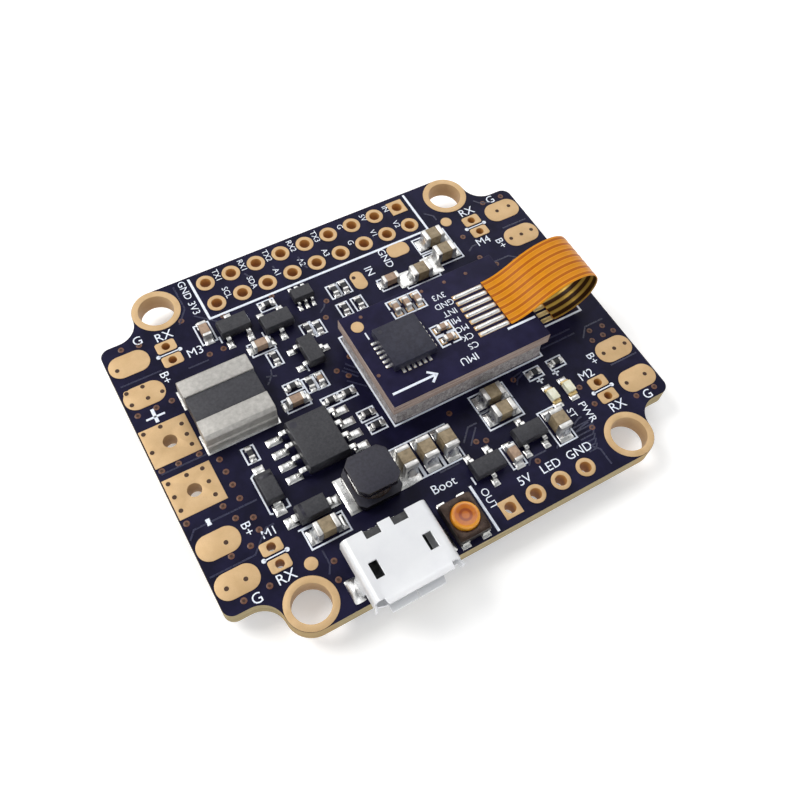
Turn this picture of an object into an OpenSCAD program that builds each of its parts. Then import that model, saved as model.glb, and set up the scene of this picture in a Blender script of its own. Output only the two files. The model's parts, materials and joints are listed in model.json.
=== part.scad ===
// Flight controller board with a soft-mounted motion sensor.
// Millimetres. X points forward, Y to the left, Z up.
// The origin is the middle of the four mounting holes, on the board's underside.

/* [Board] */
// Thickness of the main board
board_t = 1.6; // [1:0.1:2.4]
// Length of the main board over its wings
board_l = 42.7; // [40:0.1:48]
// Width of the board across the wings
wing_w = 26.7; // [24:0.1:29]
// Corner radius of the wings
wing_r = 0.9; // [0.3:0.1:2]
// Radius of the lobes around the mounting holes
lobe_r = 2.2; // [2.2:0.05:3]
// Radius of the hollow corners between lobes and wings
notch_r = 2; // [0.5:0.1:3]

/* [Mounting holes] */
// Distance between mounting holes, both ways
hole_pitch = 30.5; // [20:0.5:40]
// Clear diameter of a mounting hole
hole_d = 3.2; // [2:0.1:4]
// Diameter of the plated ring round a mounting hole
ring_d = 4.36; // [3:0.02:6]

/* [Plated holes] */
// Pitch of the pin header holes
pin_pitch = 2.54; // [1.27, 2.54]
// Number of holes in a header row
header_count = 9; // [2:1:12]
// Clear diameter of a header hole
pin_d = 1; // [0.6:0.05:1.2]
// Diameter of a header pad
pin_pad_d = 1.7; // [1.2:0.1:2]
// Number of holes in the accessory row
accessory_count = 4; // [2:1:6]
// Clear diameter of a signal hole
signal_d = 0.75; // [0.4:0.05:1]
// Clear diameter of a battery pad's hole
battery_d = 1.2; // [0.8:0.1:2]
// Thickness of the copper and gold on the board
foil = 0.05; // [0.02:0.01:0.1]
// Wall of the plating inside a hole
plate_t = 0.05; // [0.02:0.01:0.1]

/* [USB socket] */
// Width of the socket's shell
usb_w = 7.5; // [6:0.1:9]
// Height of the socket's shell
usb_h = 2.6; // [2:0.1:3.5]
// Length of the shell without its flared lips
usb_l = 5.4; // [4:0.1:8]
// Sheet thickness of the shell
usb_t = 0.25; // [0.15:0.05:0.4]

/* [Boot button] */
// Width of the switch
switch_w = 2.9; // [2:0.1:6]
// Length of the switch
switch_l = 3.5; // [2:0.1:6]
// Diameter of the round button
button_d = 2.36; // [1:0.02:4]
// Travel of the button
button_travel = 0.25; // [0.1:0.05:0.5]

/* [Motion sensor] */
// Length of the sensor board
sensor_l = 15.4; // [10:0.1:20]
// Width of the sensor board
sensor_w = 9.7; // [6:0.1:14]
// Thickness of the sensor board
sensor_t = 1.2; // [0.6:0.1:1.6]
// Length of the foam block
foam_l = 15.1; // [10:0.1:20]
// Width of the foam block
foam_w = 9.9; // [6:0.1:14]
// Thickness of the foam block
foam_t = 3; // [1:0.1:6]
// Width of the ribbon cable
ribbon_w = 5; // [3:0.1:8]
// Thickness of the ribbon cable
ribbon_t = 0.12; // [0.06:0.01:0.3]
// Height of the ribbon's loop above the main board
ribbon_rise = 6.1; // [4.5:0.1:9]
// Number of lines in the ribbon
line_count = 7; // [3:1:10]
// Pitch of the ribbon's lines
line_pitch = 0.72; // [0.5:0.01:1]

/* [Hidden] */
$fn = 48;

half_pitch = hole_pitch / 2;
lobe_edge = half_pitch + lobe_r;
wing_edge = wing_w / 2;

// Heights of the part's levels
top_z = board_t + foil;
foam_top = board_t + foam_t;
sensor_top = foam_top + sensor_t;
chip_z = sensor_top + foil;

// Header: first row near the board's edge, second row inside it
header_x = 0.05;
header_rows = [16.1, 13.56];
accessory_x = 6.23;
accessory_y = -16;

// Signal pads, in pairs beside each motor's power pads
signal_x = 15.95;
signal_ys = [9.75, 11.3];
signal_size = [1.8, 1.15];

// Power pads on the board's edges
motor_pad_x = 19.4;
motor_pad_ys = [7.55, 11.05];
motor_pad_size = [3.6, 2.25];
battery_pad_x = -19.2;
battery_pad_ys = [-2.5, 2.5];
battery_pad_size = [4.1, 3.8];

// Surface parts: centre x, centre y, turn in degrees, height
power_capacitors = [
  [-3.15, -8.6, 90, 1.65], [-1.2, -8.6, 90, 1.65], [0.75, -8.6, 90, 1.65],
  [6.6, -6.6, 0, 1.3], [6.6, -8.4, 0, 1.3], [10.2, -11.6, 90, 1.5],
  [-11.5, -10.6, 0, 1.3], [11.1, 10.8, 0, 1.3], [11.15, 8.75, 0, 1.3],
  [8, 7.8, 0, 1.2]
];
// Small capacitors: centre x, centre y, turn, size (0 is 1.0 x 0.5, 1 is 1.6 x 0.8)
small_capacitors = [
  [-12.35, 11, 90, 1], [-8.6, 7.4, 0, 1], [-8.4, 0.9, 0, 1],
  [5.25, -12.2, 90, 1], [5.1, 8.4, 0, 1], [-5.6, 1.95, 90, 0]
];
// Resistors of 1.0 x 0.5: centre x, centre y, turn
resistors = [
  [-8.1, 5.75, 90], [-6.2, 11.25, 0], [-0.05, 9.85, 90], [0.95, 9.85, 90],
  [-0.15, 7.6, 90], [1.35, 7.6, 90], [-4.15, 7.1, 90], [-3.25, 6.9, 90],
  [-8, 2.4, 0], [-6.55, 1.95, 90], [-4.15, -0.35, 0], [-5.75, -0.35, 0],
  [-3.65, -2.95, 0], [-3.45, -4.3, 0], [-13.95, -1.75, 90],
  [11.4, -6.3, 0], [13.8, -6.3, 0]
];
// Three-legged chips: centre x, centre y, turn
transistors = [
  [-9.9, 10.2, 0], [-6.35, 8.9, 180], [-5.1, 4.7, -90],
  [2.6, -12.1, 180], [7.4, -11.2, 0]
];
switch_chip = [-3, 10.6];
// Diodes: centre x, centre y, turn
diodes = [[-14, -5.4, 90], [-11.8, -8.7, 0]];
// Status lights: centre x, centre y
leds = [[11.5, -9.05], [13.2, -9.05]];
regulator_at = [-8.65, -3.5];
inductor_at = [-6.5, -8.8];
shunt_at = [-13.7, 3.15];
shunt_size = [6.3, 6.5, 2.2];
shunt_gap = 2.5;

usb_at = [-7.8, -12.8];
usb_chamfer = 1;
switch_at = [-1.55, -15.15];
switch_h = 0.8;
cover_t = 0.12;
flange_r = button_d / 2 + 0.16;
pocket_r = flange_r + 0.05;
cover_hole_r = button_d / 2 + 0.06;

// Sensor parts, on the sensor board
foam_at = [5.5, 0];
sensor_at = [5.05, -0.6];
sensor_chip_at = [1.05, -0.55];
sensor_chip_w = 4;
sensor_capacitors = [[2.3, 2.95, 90], [3.35, 2.95, 90], [4.4, 2.95, 90],
                     [4.75, -0.65, 0], [4.75, -1.8, 0]];
finger_x = 7.2;
finger_l = 3;
finger_w = 0.44;
ribbon_top_y = -0.57;
ribbon_base_y = 0.11;
ribbon_base_x = 15.2;
ribbon_base_l = 1.2;

// Underside parts
processor_w = 10;
processor_leads_side = 16;
processor_pitch = 0.5;
crystal_at = [-9.5, 1.5];
decoupling_capacitors = [
  [-7.6, 4.6, 90], [-7.6, -3.6, 90], [7.6, 3.6, 90], [7.6, -3.6, 90],
  [-3.6, 7.6, 0], [3.6, 7.6, 0], [-3.6, -7.6, 0], [3.6, -7.6, 0],
  [-11.9, 1.5, 90], [-9.5, 3.7, 0]
];

// ---- Shared shapes ----

// Plan of the main board
module board_plan() {
  square([2 * lobe_edge, hole_pitch], center = true);
  square([hole_pitch, 2 * lobe_edge], center = true);
  square([board_l, wing_w - 2 * wing_r], center = true);
  square([board_l - 2 * wing_r, wing_w], center = true);
  for (sx = [-1, 1], sy = [-1, 1]) {
    translate([sx * half_pitch, sy * half_pitch]) circle(lobe_r);
    translate([sx * (board_l / 2 - wing_r), sy * (wing_edge - wing_r)]) circle(wing_r);
    mirror([sx < 0 ? 1 : 0, 0]) mirror([0, sy < 0 ? 1 : 0]) notch_plan();
  }
}

// Hollow corner between a lobe and a wing
module notch_plan() {
  difference() {
    translate([lobe_edge - 0.1, wing_edge - 0.1]) square(notch_r + 0.1);
    translate([lobe_edge + notch_r, wing_edge + notch_r]) circle(notch_r);
  }
}

// Rectangle with round corners
module round_plan(size, r) {
  square([size[0] - 2 * r, size[1]], center = true);
  square([size[0], size[1] - 2 * r], center = true);
  for (sx = [-1, 1], sy = [-1, 1])
    translate([sx * (size[0] / 2 - r), sy * (size[1] / 2 - r)]) circle(r);
}

// Box centred in X and Y, standing on z = 0
module block(size) {
  translate([-size[0] / 2, -size[1] / 2, 0]) cube(size);
}

// Ring, tube and ring that line a hole through the board
module plated_hole(pad_d, clear_d) {
  difference() {
    union() {
      translate([0, 0, -foil]) cylinder(h = foil, d = pad_d);
      translate([0, 0, board_t]) cylinder(h = foil, d = pad_d);
      cylinder(h = board_t, d = clear_d + 2 * plate_t);
    }
    translate([0, 0, -1]) cylinder(h = board_t + 2, d = clear_d);
  }
}

// The same lining with a square pad
module square_plated_hole(pad_w, clear_d) {
  difference() {
    union() {
      translate([0, 0, -foil]) block([pad_w, pad_w, foil]);
      translate([0, 0, board_t]) block([pad_w, pad_w, foil]);
      cylinder(h = board_t, d = clear_d + 2 * plate_t);
    }
    translate([0, 0, -1]) cylinder(h = board_t + 2, d = clear_d);
  }
}

// Chip body whose sides lean in above and below the middle
module moulded_body(l, w, h, lean) {
  mid = h * 0.45;
  intersection() {
    rotate([90, 0, 0]) translate([0, 0, -w]) linear_extrude(2 * w)
      polygon([[-l / 2 + lean, 0], [l / 2 - lean, 0], [l / 2, mid],
               [l / 2 - lean, h], [-l / 2 + lean, h], [-l / 2, mid]]);
    rotate([90, 0, 90]) translate([0, 0, -l]) linear_extrude(2 * l)
      polygon([[-w / 2 + lean, 0], [w / 2 - lean, 0], [w / 2, mid],
               [w / 2 - lean, h], [-w / 2 + lean, h], [-w / 2, mid]]);
  }
}

// Bent lead that leaves a chip along +X at height exit_z and stands on z = 0
module lead(start, reach, exit_z, w, t) {
  bend = start + (reach - start) * 0.42;
  rotate([90, 0, 0]) translate([0, 0, -w / 2]) linear_extrude(w)
    polygon([[start, exit_z], [start, exit_z + t], [bend, exit_z + t],
             [bend + t, exit_z + t * 0.6], [bend + t * 1.7, t], [reach, t],
             [reach, 0], [bend + t, 0], [bend - t * 0.1, exit_z]]);
}

// Middle part of a chip capacitor or resistor that lies along X
module chip_body(l, w, h, end_l) {
  block([l - 2 * end_l, w - 0.04, h - 0.02]);
}

// Two metal ends of a chip capacitor or resistor
module chip_ends(l, w, h, end_l) {
  for (s = [-1, 1]) translate([s * (l - end_l) / 2, 0, 0]) block([end_l, w, h]);
}

// Two solder pads under a chip that lies along X
module chip_pads(l, w, pad_l) {
  for (s = [-1, 1]) translate([s * (l / 2 + pad_l * 0.1), 0, 0]) block([pad_l, w, foil]);
}

// ---- Main board ----

module board() {
  color([0.07, 0.08, 0.16]) difference() {
    linear_extrude(board_t) board_plan();
    for (sx = [-1, 1], sy = [-1, 1])
      translate([sx * half_pitch, sy * half_pitch, -1])
        cylinder(h = board_t + 2, d = hole_d + 2 * plate_t);
    header_positions() drill(pin_d);
    accessory_positions() drill(pin_d);
    signal_positions() drill(signal_d);
    for (y = battery_pad_ys) translate([battery_pad_x, y, 0]) drill(battery_d);
  }
}

module drill(clear_d) {
  translate([0, 0, -1]) cylinder(h = board_t + 2, d = clear_d + 2 * plate_t);
}

module header_positions() {
  for (i = [0 : header_count - 1], y = header_rows)
    translate([header_x + (i - (header_count - 1) / 2) * pin_pitch, y, 0]) children();
}

module accessory_positions() {
  for (i = [0 : accessory_count - 1])
    translate([accessory_x + (i - (accessory_count - 1) / 2) * pin_pitch, accessory_y, 0])
      children();
}

module signal_positions() {
  for (sx = [-1, 1], sy = [-1, 1], y = signal_ys)
    translate([sx * signal_x, sy * y, 0]) children();
}

module mounting_rings() {
  color([0.83, 0.66, 0.42])
    for (sx = [-1, 1], sy = [-1, 1])
      translate([sx * half_pitch, sy * half_pitch, 0]) plated_hole(ring_d, hole_d);
}

module header_holes() {
  last_x = header_x + (header_count - 1) / 2 * pin_pitch;
  color([0.83, 0.66, 0.42]) {
    for (i = [0 : header_count - 1], y = header_rows)
      if (i < header_count - 1 || y != header_rows[0])
        translate([header_x + (i - (header_count - 1) / 2) * pin_pitch, y, 0])
          plated_hole(pin_pad_d, pin_d);
    translate([last_x, header_rows[0], 0]) square_plated_hole(pin_pad_d - 0.06, pin_d);
  }
}

module accessory_holes() {
  first_x = accessory_x - (accessory_count - 1) / 2 * pin_pitch;
  color([0.83, 0.66, 0.42]) {
    translate([first_x, accessory_y, 0]) square_plated_hole(pin_pad_d - 0.06, pin_d);
    for (i = [1 : accessory_count - 1])
      translate([first_x + i * pin_pitch, accessory_y, 0]) plated_hole(pin_pad_d, pin_d);
  }
}

module signal_pads() {
  color([0.83, 0.66, 0.42]) signal_positions() difference() {
    union() {
      translate([0, 0, -foil]) linear_extrude(foil) round_plan(signal_size, 0.25);
      translate([0, 0, board_t]) linear_extrude(foil) round_plan(signal_size, 0.25);
      cylinder(h = board_t, d = signal_d + 2 * plate_t);
    }
    translate([0, 0, -1]) cylinder(h = board_t + 2, d = signal_d);
  }
}

module motor_pads() {
  color([0.83, 0.66, 0.42])
    for (sx = [-1, 1], sy = [-1, 1], y = motor_pad_ys, z = [-foil, board_t])
      translate([sx * motor_pad_x, sy * y, z])
        linear_extrude(foil) round_plan(motor_pad_size, 1.05);
}

module battery_pads() {
  color([0.83, 0.66, 0.42])
    for (y = battery_pad_ys) translate([battery_pad_x, y, 0]) difference() {
      union() {
        translate([0, 0, -foil]) linear_extrude(foil) square(battery_pad_size, center = true);
        translate([0, 0, board_t]) linear_extrude(foil) square(battery_pad_size, center = true);
        cylinder(h = board_t, d = battery_d + 2 * plate_t);
      }
      translate([0, 0, -1]) cylinder(h = board_t + 2, d = battery_d);
    }
}

module test_pads() {
  color([0.83, 0.66, 0.42]) translate([0, 0, board_t]) {
    translate([2.55, 9.9, 0]) linear_extrude(foil) round_plan([1.3, 2.1], 0.62);
    translate([7.65, 11.4, 0]) linear_extrude(foil) round_plan([2.2, 1.5], 0.6);
    translate([13.6, 12.25, 0]) cylinder(h = foil, d = 1.1);
    translate([-13.85, -12.45, 0]) cylinder(h = foil, d = 1.1);
  }
}

module ribbon_pads() {
  color([0.86, 0.72, 0.42])
    for (i = [0 : line_count - 1])
      translate([ribbon_base_x + ribbon_base_l / 2,
                 ribbon_base_y + (i - (line_count - 1) / 2) * line_pitch, board_t])
        block([ribbon_base_l, finger_w, foil]);
}

module component_pads() {
  color([0.72, 0.72, 0.7]) translate([0, 0, board_t]) {
    for (c = power_capacitors) translate([c[0], c[1], 0]) rotate(c[2]) chip_pads(2.2, 1.3, 0.9);
    for (c = small_capacitors) translate([c[0], c[1], 0]) rotate(c[2])
      chip_pads(c[3] == 1 ? 1.7 : 1.05, c[3] == 1 ? 0.85 : 0.55, c[3] == 1 ? 0.75 : 0.5);
    for (c = resistors) translate([c[0], c[1], 0]) rotate(c[2]) chip_pads(1.05, 0.55, 0.5);
    for (c = transistors) translate([c[0], c[1], 0]) rotate(c[2])
      for (p = [[-0.95, -1], [0.95, -1], [0, 1]])
        translate([p[0], p[1] * 1.4, 0]) block([0.62, 0.8, foil]);
    for (s = [-1, 1], i = [-1, 0, 1])
      translate([switch_chip[0] + i * 0.65, switch_chip[1] + s * 1.05, 0])
        block([0.36, 0.66, foil]);
    for (c = diodes) translate([c[0], c[1], 0]) rotate(c[2])
      for (s = [-1, 1]) translate([s * 1.86, 0, 0]) block([1.06, 0.95, foil]);
    for (c = leds) translate([c[0], c[1], 0]) rotate(90) chip_pads(1.75, 0.85, 0.6);
    for (s = [-1, 1], i = [0 : 3])
      translate([regulator_at[0] + s * 3.1, regulator_at[1] + (i - 1.5) * 1.27, 0])
        block([1.4, 0.72, foil]);
    for (s = [-1, 1]) translate([inductor_at[0] + s * 2.1, inductor_at[1], 0])
      block([1.3, 3.4, foil]);
    for (s = [-1, 1]) translate([shunt_at[0], shunt_at[1] + s * 2.4, 0])
      block([shunt_size[0] + 0.3, 2, foil]);
    for (i = [-2 : 2]) translate([usb_at[0] + i * 0.65, usb_at[1] + 0.25, 0])
      block([0.42, 0.9, foil]);
    for (s = [-1, 1]) translate([usb_at[0] + s * 4.05, usb_at[1] - 3.2, 0])
      block([0.8, 2, foil]);
    for (sx = [-1, 1], sy = [-1, 1])
      translate([switch_at[0] + sx * 0.95, switch_at[1] + sy * 1.87, 0])
        block([0.8, 0.5, foil]);
  }
}

// ---- USB socket ----

// Cross-section of the shell: wide above, narrower at the board
module usb_profile(inset) {
  w = usb_w / 2 - inset;
  r = 0.5;
  difference() {
    polygon([[-w + usb_chamfer, inset], [w - usb_chamfer, inset], [w, usb_chamfer + inset * 0.4],
             [w, usb_h - inset], [-w, usb_h - inset], [-w, usb_chamfer + inset * 0.4]]);
    for (s = [-1, 1]) difference() {
      translate([s * w, usb_h - inset]) square(2 * r, center = true);
      translate([s * (w - r), usb_h - inset - r]) circle(r);
    }
  }
}

module usb_shell() {
  lip = 0.75;
  color([0.85, 0.86, 0.87]) translate([usb_at[0], usb_at[1], top_z]) {
    difference() {
      rotate([90, 0, 0]) linear_extrude(usb_l) difference() {
        usb_profile(0);
        usb_profile(usb_t);
      }
      for (s = [-1, 1]) {
        translate([s * 2.35 - 0.37, -3.9, usb_h - 0.5]) cube([0.74, 1.4, 1]);
        translate([s * 1.2 - 0.65, -0.8, usb_h - 0.5]) cube([1.3, 1, 1]);
      }
      // Opening for the contact tails
      translate([-1.8, -1.4, -1]) cube([3.6, 2, 1.6]);
    }
    // Flared lips round the mouth
    translate([-3.1, -usb_l, usb_h - usb_t]) rotate([-22, 0, 0])
      translate([0, -lip, 0]) cube([6.2, lip, usb_t]);
    translate([-2.45, -usb_l, 0]) rotate([25, 0, 0])
      translate([0, -lip, 0]) cube([4.9, lip, usb_t]);
    for (s = [-1, 1]) translate([s * (usb_w / 2 - usb_t / 2), -usb_l, 1.15])
      rotate([0, 0, s * 25]) translate([-usb_t / 2, -lip, 0]) cube([usb_t, lip, 1.05]);
    // Feet that are soldered to the board
    for (s = [-1, 1]) translate([s * (usb_w / 2 - usb_t / 2), -3.2, 0]) {
      block([usb_t, 1.5, 1.2]);
      translate([s * 0.25, 0, 0]) block([0.75, 1.5, usb_t]);
    }
  }
}

// One contact: tail on the board, riser, and the strip under the tongue
module usb_contact() {
  rotate([90, 0, 90]) translate([0, 0, -0.17]) linear_extrude(0.34)
    polygon([[0.6, 0], [-0.75, 0], [-0.75, 1.2], [-4.4, 1.2], [-4.4, 1.33],
             [-0.6, 1.33], [-0.6, 0.14], [0.6, 0.14]]);
}

module usb_contacts() {
  color([0.85, 0.68, 0.35]) translate([usb_at[0], usb_at[1], top_z])
    for (i = [-2 : 2]) translate([i * 0.65, 0, 0]) usb_contact();
}

module usb_insulator() {
  color([0.1, 0.1, 0.11]) translate([usb_at[0], usb_at[1], top_z]) difference() {
    union() {
      translate([-2.4, -1.4, usb_t]) cube([4.8, 1.3, usb_h - 2 * usb_t]);
      translate([-1.85, -4.7, 1.2]) cube([3.7, 3.6, 0.62]);
    }
    for (i = [-2 : 2]) translate([i * 0.65, 0, 0]) usb_contact();
  }
}

// ---- Boot button ----

module boot_switch_base() {
  color([0.1, 0.08, 0.08]) translate([switch_at[0], switch_at[1], top_z]) difference() {
    block([switch_w, switch_l, switch_h]);
    translate([0, 0, switch_h - 0.5]) cylinder(h = 1, r = pocket_r);
  }
}

module boot_switch_cover() {
  color([0.25, 0.23, 0.22]) translate([switch_at[0], switch_at[1], top_z + switch_h])
    linear_extrude(cover_t) difference() {
      round_plan([switch_w, switch_l], 0.3);
      circle(cover_hole_r);
    }
}

module boot_switch_terminals() {
  color([0.8, 0.8, 0.78]) translate([switch_at[0], switch_at[1], top_z])
    for (sx = [-1, 1], sy = [-1, 1])
      translate([sx * 0.95, sy * (switch_l / 2 + 0.06), 0]) {
        block([0.7, 0.12, 0.56]);
        translate([0, sy * 0.14, 0]) block([0.7, 0.4, 0.14]);
      }
}

module boot_button() {
  r = button_d / 2;
  color([0.85, 0.45, 0.08]) translate([switch_at[0], switch_at[1], top_z])
    rotate_extrude()
      polygon([[0, 0.6], [flange_r, 0.6], [flange_r, switch_h - 0.02],
               [r, switch_h - 0.02], [r, 1.22], [r - 0.1, 1.34], [r - 0.3, 1.36],
               [0.45, 1.28], [0, 1.26]]);
}

// ---- Power parts ----

module shunt_element() {
  color([0.2, 0.2, 0.22]) translate([shunt_at[0], shunt_at[1], top_z + 0.3])
    block([shunt_size[0] - 0.1, shunt_gap, shunt_size[2] - 0.42]);
}

module shunt_terminals() {
  l = (shunt_size[1] - shunt_gap) / 2;
  h = shunt_size[2];
  color([0.72, 0.71, 0.69]) translate([shunt_at[0], shunt_at[1], top_z])
    for (s = [-1, 1]) mirror([0, s < 0 ? 1 : 0, 0])
      translate([-shunt_size[0] / 2, shunt_gap / 2, 0])
        rotate([90, 0, 90]) linear_extrude(shunt_size[0])
          polygon([[0, 0.3], [0.5, 0.3], [0.8, 0], [l, 0], [l, 0.9], [l - 0.12, 1.05],
                   [l - 0.12, h - 0.35], [l - 0.4, h], [0, h]]);
}

module regulator_body() {
  color([0.16, 0.16, 0.19]) translate([regulator_at[0], regulator_at[1], top_z + 0.12])
    moulded_body(3.9, 4.9, 1.42, 0.14);
}

module regulator_leads() {
  color([0.78, 0.78, 0.76]) translate([regulator_at[0], regulator_at[1], top_z])
    for (s = [0, 180], i = [0 : 3]) rotate(s)
      translate([0, (i - 1.5) * 1.27, 0]) lead(1.95, 3.05, 0.66, 0.42, 0.2);
}

module inductor_core() {
  color([0.28, 0.28, 0.33]) translate([inductor_at[0], inductor_at[1], top_z + 0.15]) {
    linear_extrude(0.75) octagon_plan(4.1, 4, 0.5);
    translate([0, 0, 0.7]) cylinder(h = 1.5, r = 1.1);
    translate([0, 0, 2]) linear_extrude(0.75) octagon_plan(3.8, 3.6, 0.6);
  }
}

// Rectangle with cut corners
module octagon_plan(l, w, cut) {
  polygon([[l / 2, w / 2 - cut], [l / 2 - cut, w / 2], [cut - l / 2, w / 2],
           [-l / 2, w / 2 - cut], [-l / 2, cut - w / 2], [cut - l / 2, -w / 2],
           [l / 2 - cut, -w / 2], [l / 2, cut - w / 2]]);
}

module inductor_winding() {
  color([0.12, 0.08, 0.06]) translate([inductor_at[0], inductor_at[1], top_z + 0.9])
    difference() {
      cylinder(h = 1.25, r = 1.75);
      translate([0, 0, -1]) cylinder(h = 4, r = 1.1);
    }
}

module inductor_terminals() {
  color([0.7, 0.7, 0.68]) translate([inductor_at[0], inductor_at[1], top_z])
    for (s = [-1, 1]) translate([s * 1.85, 0, 0]) block([1.4, 3, 0.15]);
}

module diode_bodies() {
  color([0.14, 0.14, 0.18])
    for (c = diodes) translate([c[0], c[1], top_z + 0.05]) rotate(c[2])
      moulded_body(2.7, 1.6, 1.12, 0.1);
}

module diode_leads() {
  color([0.78, 0.78, 0.76])
    for (c = diodes, s = [0, 180]) translate([c[0], c[1], top_z]) rotate(c[2] + s)
      lead(1.35, 1.95, 0.42, 0.65, 0.14);
}

// ---- Chip capacitors, resistors and small chips ----

module power_capacitor_bodies() {
  color([0.62, 0.54, 0.4])
    for (c = power_capacitors) translate([c[0], c[1], top_z]) rotate(c[2])
      chip_body(2, 1.25, c[3], 0.45);
}

module power_capacitor_ends() {
  color([0.78, 0.76, 0.73])
    for (c = power_capacitors) translate([c[0], c[1], top_z]) rotate(c[2])
      chip_ends(2, 1.25, c[3], 0.45);
}

module small_capacitor_bodies() {
  color([0.66, 0.52, 0.38])
    for (c = small_capacitors) translate([c[0], c[1], top_z]) rotate(c[2])
      chip_body(c[3] == 1 ? 1.6 : 1, c[3] == 1 ? 0.8 : 0.5, c[3] == 1 ? 0.8 : 0.5, 0.3);
}

module small_capacitor_ends() {
  color([0.78, 0.76, 0.73])
    for (c = small_capacitors) translate([c[0], c[1], top_z]) rotate(c[2])
      chip_ends(c[3] == 1 ? 1.6 : 1, c[3] == 1 ? 0.8 : 0.5, c[3] == 1 ? 0.8 : 0.5, 0.3);
}

module resistor_bodies() {
  color([0.1, 0.1, 0.11])
    for (c = resistors) translate([c[0], c[1], top_z]) rotate(c[2]) chip_body(1, 0.5, 0.36, 0.24);
}

module resistor_ends() {
  color([0.8, 0.8, 0.79])
    for (c = resistors) translate([c[0], c[1], top_z]) rotate(c[2]) chip_ends(1, 0.5, 0.36, 0.24);
}

module transistor_bodies() {
  color([0.15, 0.15, 0.17])
    for (c = transistors) translate([c[0], c[1], top_z + 0.06]) rotate(c[2])
      moulded_body(2.9, 1.6, 1.06, 0.09);
}

module transistor_leads() {
  color([0.8, 0.8, 0.78])
    for (c = transistors) translate([c[0], c[1], top_z]) rotate(c[2]) {
      for (x = [-0.95, 0.95]) translate([x, 0, 0]) rotate(-90) lead(0.8, 1.42, 0.45, 0.4, 0.14);
      rotate(90) lead(0.8, 1.42, 0.45, 0.4, 0.14);
    }
}

module switch_chip_body() {
  color([0.15, 0.15, 0.17]) translate([switch_chip[0], switch_chip[1], top_z + 0.05])
    moulded_body(2, 1.25, 0.9, 0.07);
}

module switch_chip_leads() {
  color([0.8, 0.8, 0.78])
    for (s = [-90, 90], i = [-1, 0, 1])
      translate([switch_chip[0] + i * 0.65, switch_chip[1], top_z]) rotate(s)
        lead(0.625, 1.08, 0.36, 0.24, 0.11);
}

module led_bases() {
  color([0.92, 0.92, 0.88])
    for (c = leds) translate([c[0], c[1], top_z]) rotate(90) block([1, 0.8, 0.22]);
}

module led_lenses() {
  color([0.95, 0.93, 0.78])
    for (c = leds) translate([c[0], c[1], top_z + 0.22]) rotate(90) block([1.06, 0.76, 0.36]);
}

module led_ends() {
  color([0.85, 0.82, 0.7])
    for (c = leds, s = [-1, 1]) translate([c[0], c[1] + s * 0.65, top_z]) block([0.8, 0.3, 0.22]);
}

// ---- Soft-mounted motion sensor ----

module sensor_foam() {
  color([0.68, 0.65, 0.65]) translate([foam_at[0], foam_at[1], board_t])
    block([foam_l, foam_w, foam_t]);
}

module sensor_board() {
  color([0.09, 0.09, 0.17]) translate([sensor_at[0], sensor_at[1], foam_top])
    block([sensor_l, sensor_w, sensor_t]);
}

module sensor_pads() {
  color([0.84, 0.7, 0.45]) {
    translate([-1.55, 2.8, sensor_top]) cylinder(h = foil, d = 1.1);
    translate([0, 0, sensor_top])
      for (c = sensor_capacitors) translate([c[0], c[1], 0]) rotate(c[2])
        chip_pads(1.05, 0.6, 0.5);
    for (i = [0 : line_count - 1])
      translate([finger_x + finger_l / 2, ribbon_top_y + (i - (line_count - 1) / 2) * line_pitch,
                 sensor_top])
        block([finger_l, finger_w, foil]);
  }
}

module sensor_chip() {
  color([0.17, 0.17, 0.22]) translate([sensor_chip_at[0], sensor_chip_at[1], chip_z])
    block([sensor_chip_w, sensor_chip_w, 0.9]);
}

module sensor_chip_contacts() {
  color([0.85, 0.76, 0.6])
    for (a = [0 : 90 : 270], i = [0 : 5])
      translate([sensor_chip_at[0], sensor_chip_at[1], sensor_top]) rotate(a)
        translate([sensor_chip_w / 2 + 0.06, (i - 2.5) * 0.5, 0]) block([0.72, 0.28, foil]);
}

module sensor_capacitor_bodies() {
  color([0.6, 0.5, 0.4])
    for (c = sensor_capacitors) translate([c[0], c[1], chip_z]) rotate(c[2])
      chip_body(1, 0.5, 0.5, 0.25);
}

module sensor_capacitor_ends() {
  color([0.75, 0.74, 0.72])
    for (c = sensor_capacitors) translate([c[0], c[1], chip_z]) rotate(c[2])
      chip_ends(1, 0.5, 0.5, 0.25);
}

module ribbon_fingers() {
  color([0.86, 0.86, 0.84])
    for (i = [0 : line_count - 1])
      translate([finger_x + finger_l / 2 + 0.1,
                 ribbon_top_y + (i - (line_count - 1) / 2) * line_pitch, chip_z])
        block([finger_l - 0.2, finger_w - 0.06, 0.08]);
}

// Point at t from 0 to 1 on a smooth curve with two handles
function curve(a, b, c, d, t) =
  a * pow(1 - t, 3) + 3 * b * t * pow(1 - t, 2) + 3 * c * t * t * (1 - t) + d * pow(t, 3);

// Ribbon path, seen from the side: from the sensor board, up, round and down to the main board
ribbon_steps = 24;
ribbon_start = [finger_x + finger_l, foam_t + sensor_t + foil + ribbon_t / 2];
ribbon_crest = [16.6, ribbon_rise];
ribbon_end = [ribbon_base_x + ribbon_base_l, foil + ribbon_t / 2];
ribbon_path = concat(
  [for (i = [0 : ribbon_steps])
    curve(ribbon_start, ribbon_start + [2.4, 0], ribbon_crest - [3, 0], ribbon_crest,
          i / ribbon_steps)],
  [for (i = [1 : ribbon_steps])
    curve(ribbon_crest, ribbon_crest + [4.7, 0.1], ribbon_end + [4.9, 0], ribbon_end,
          i / ribbon_steps)]
);
ribbon_last = len(ribbon_path) - 1;

// Direction across the ribbon's thickness at station i
function ribbon_across(i) =
  let (a = ribbon_path[max(i - 1, 0)], b = ribbon_path[min(i + 1, ribbon_last)],
       d = b - a, n = norm(d))
  [-d[1] / n, d[0] / n];

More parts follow.
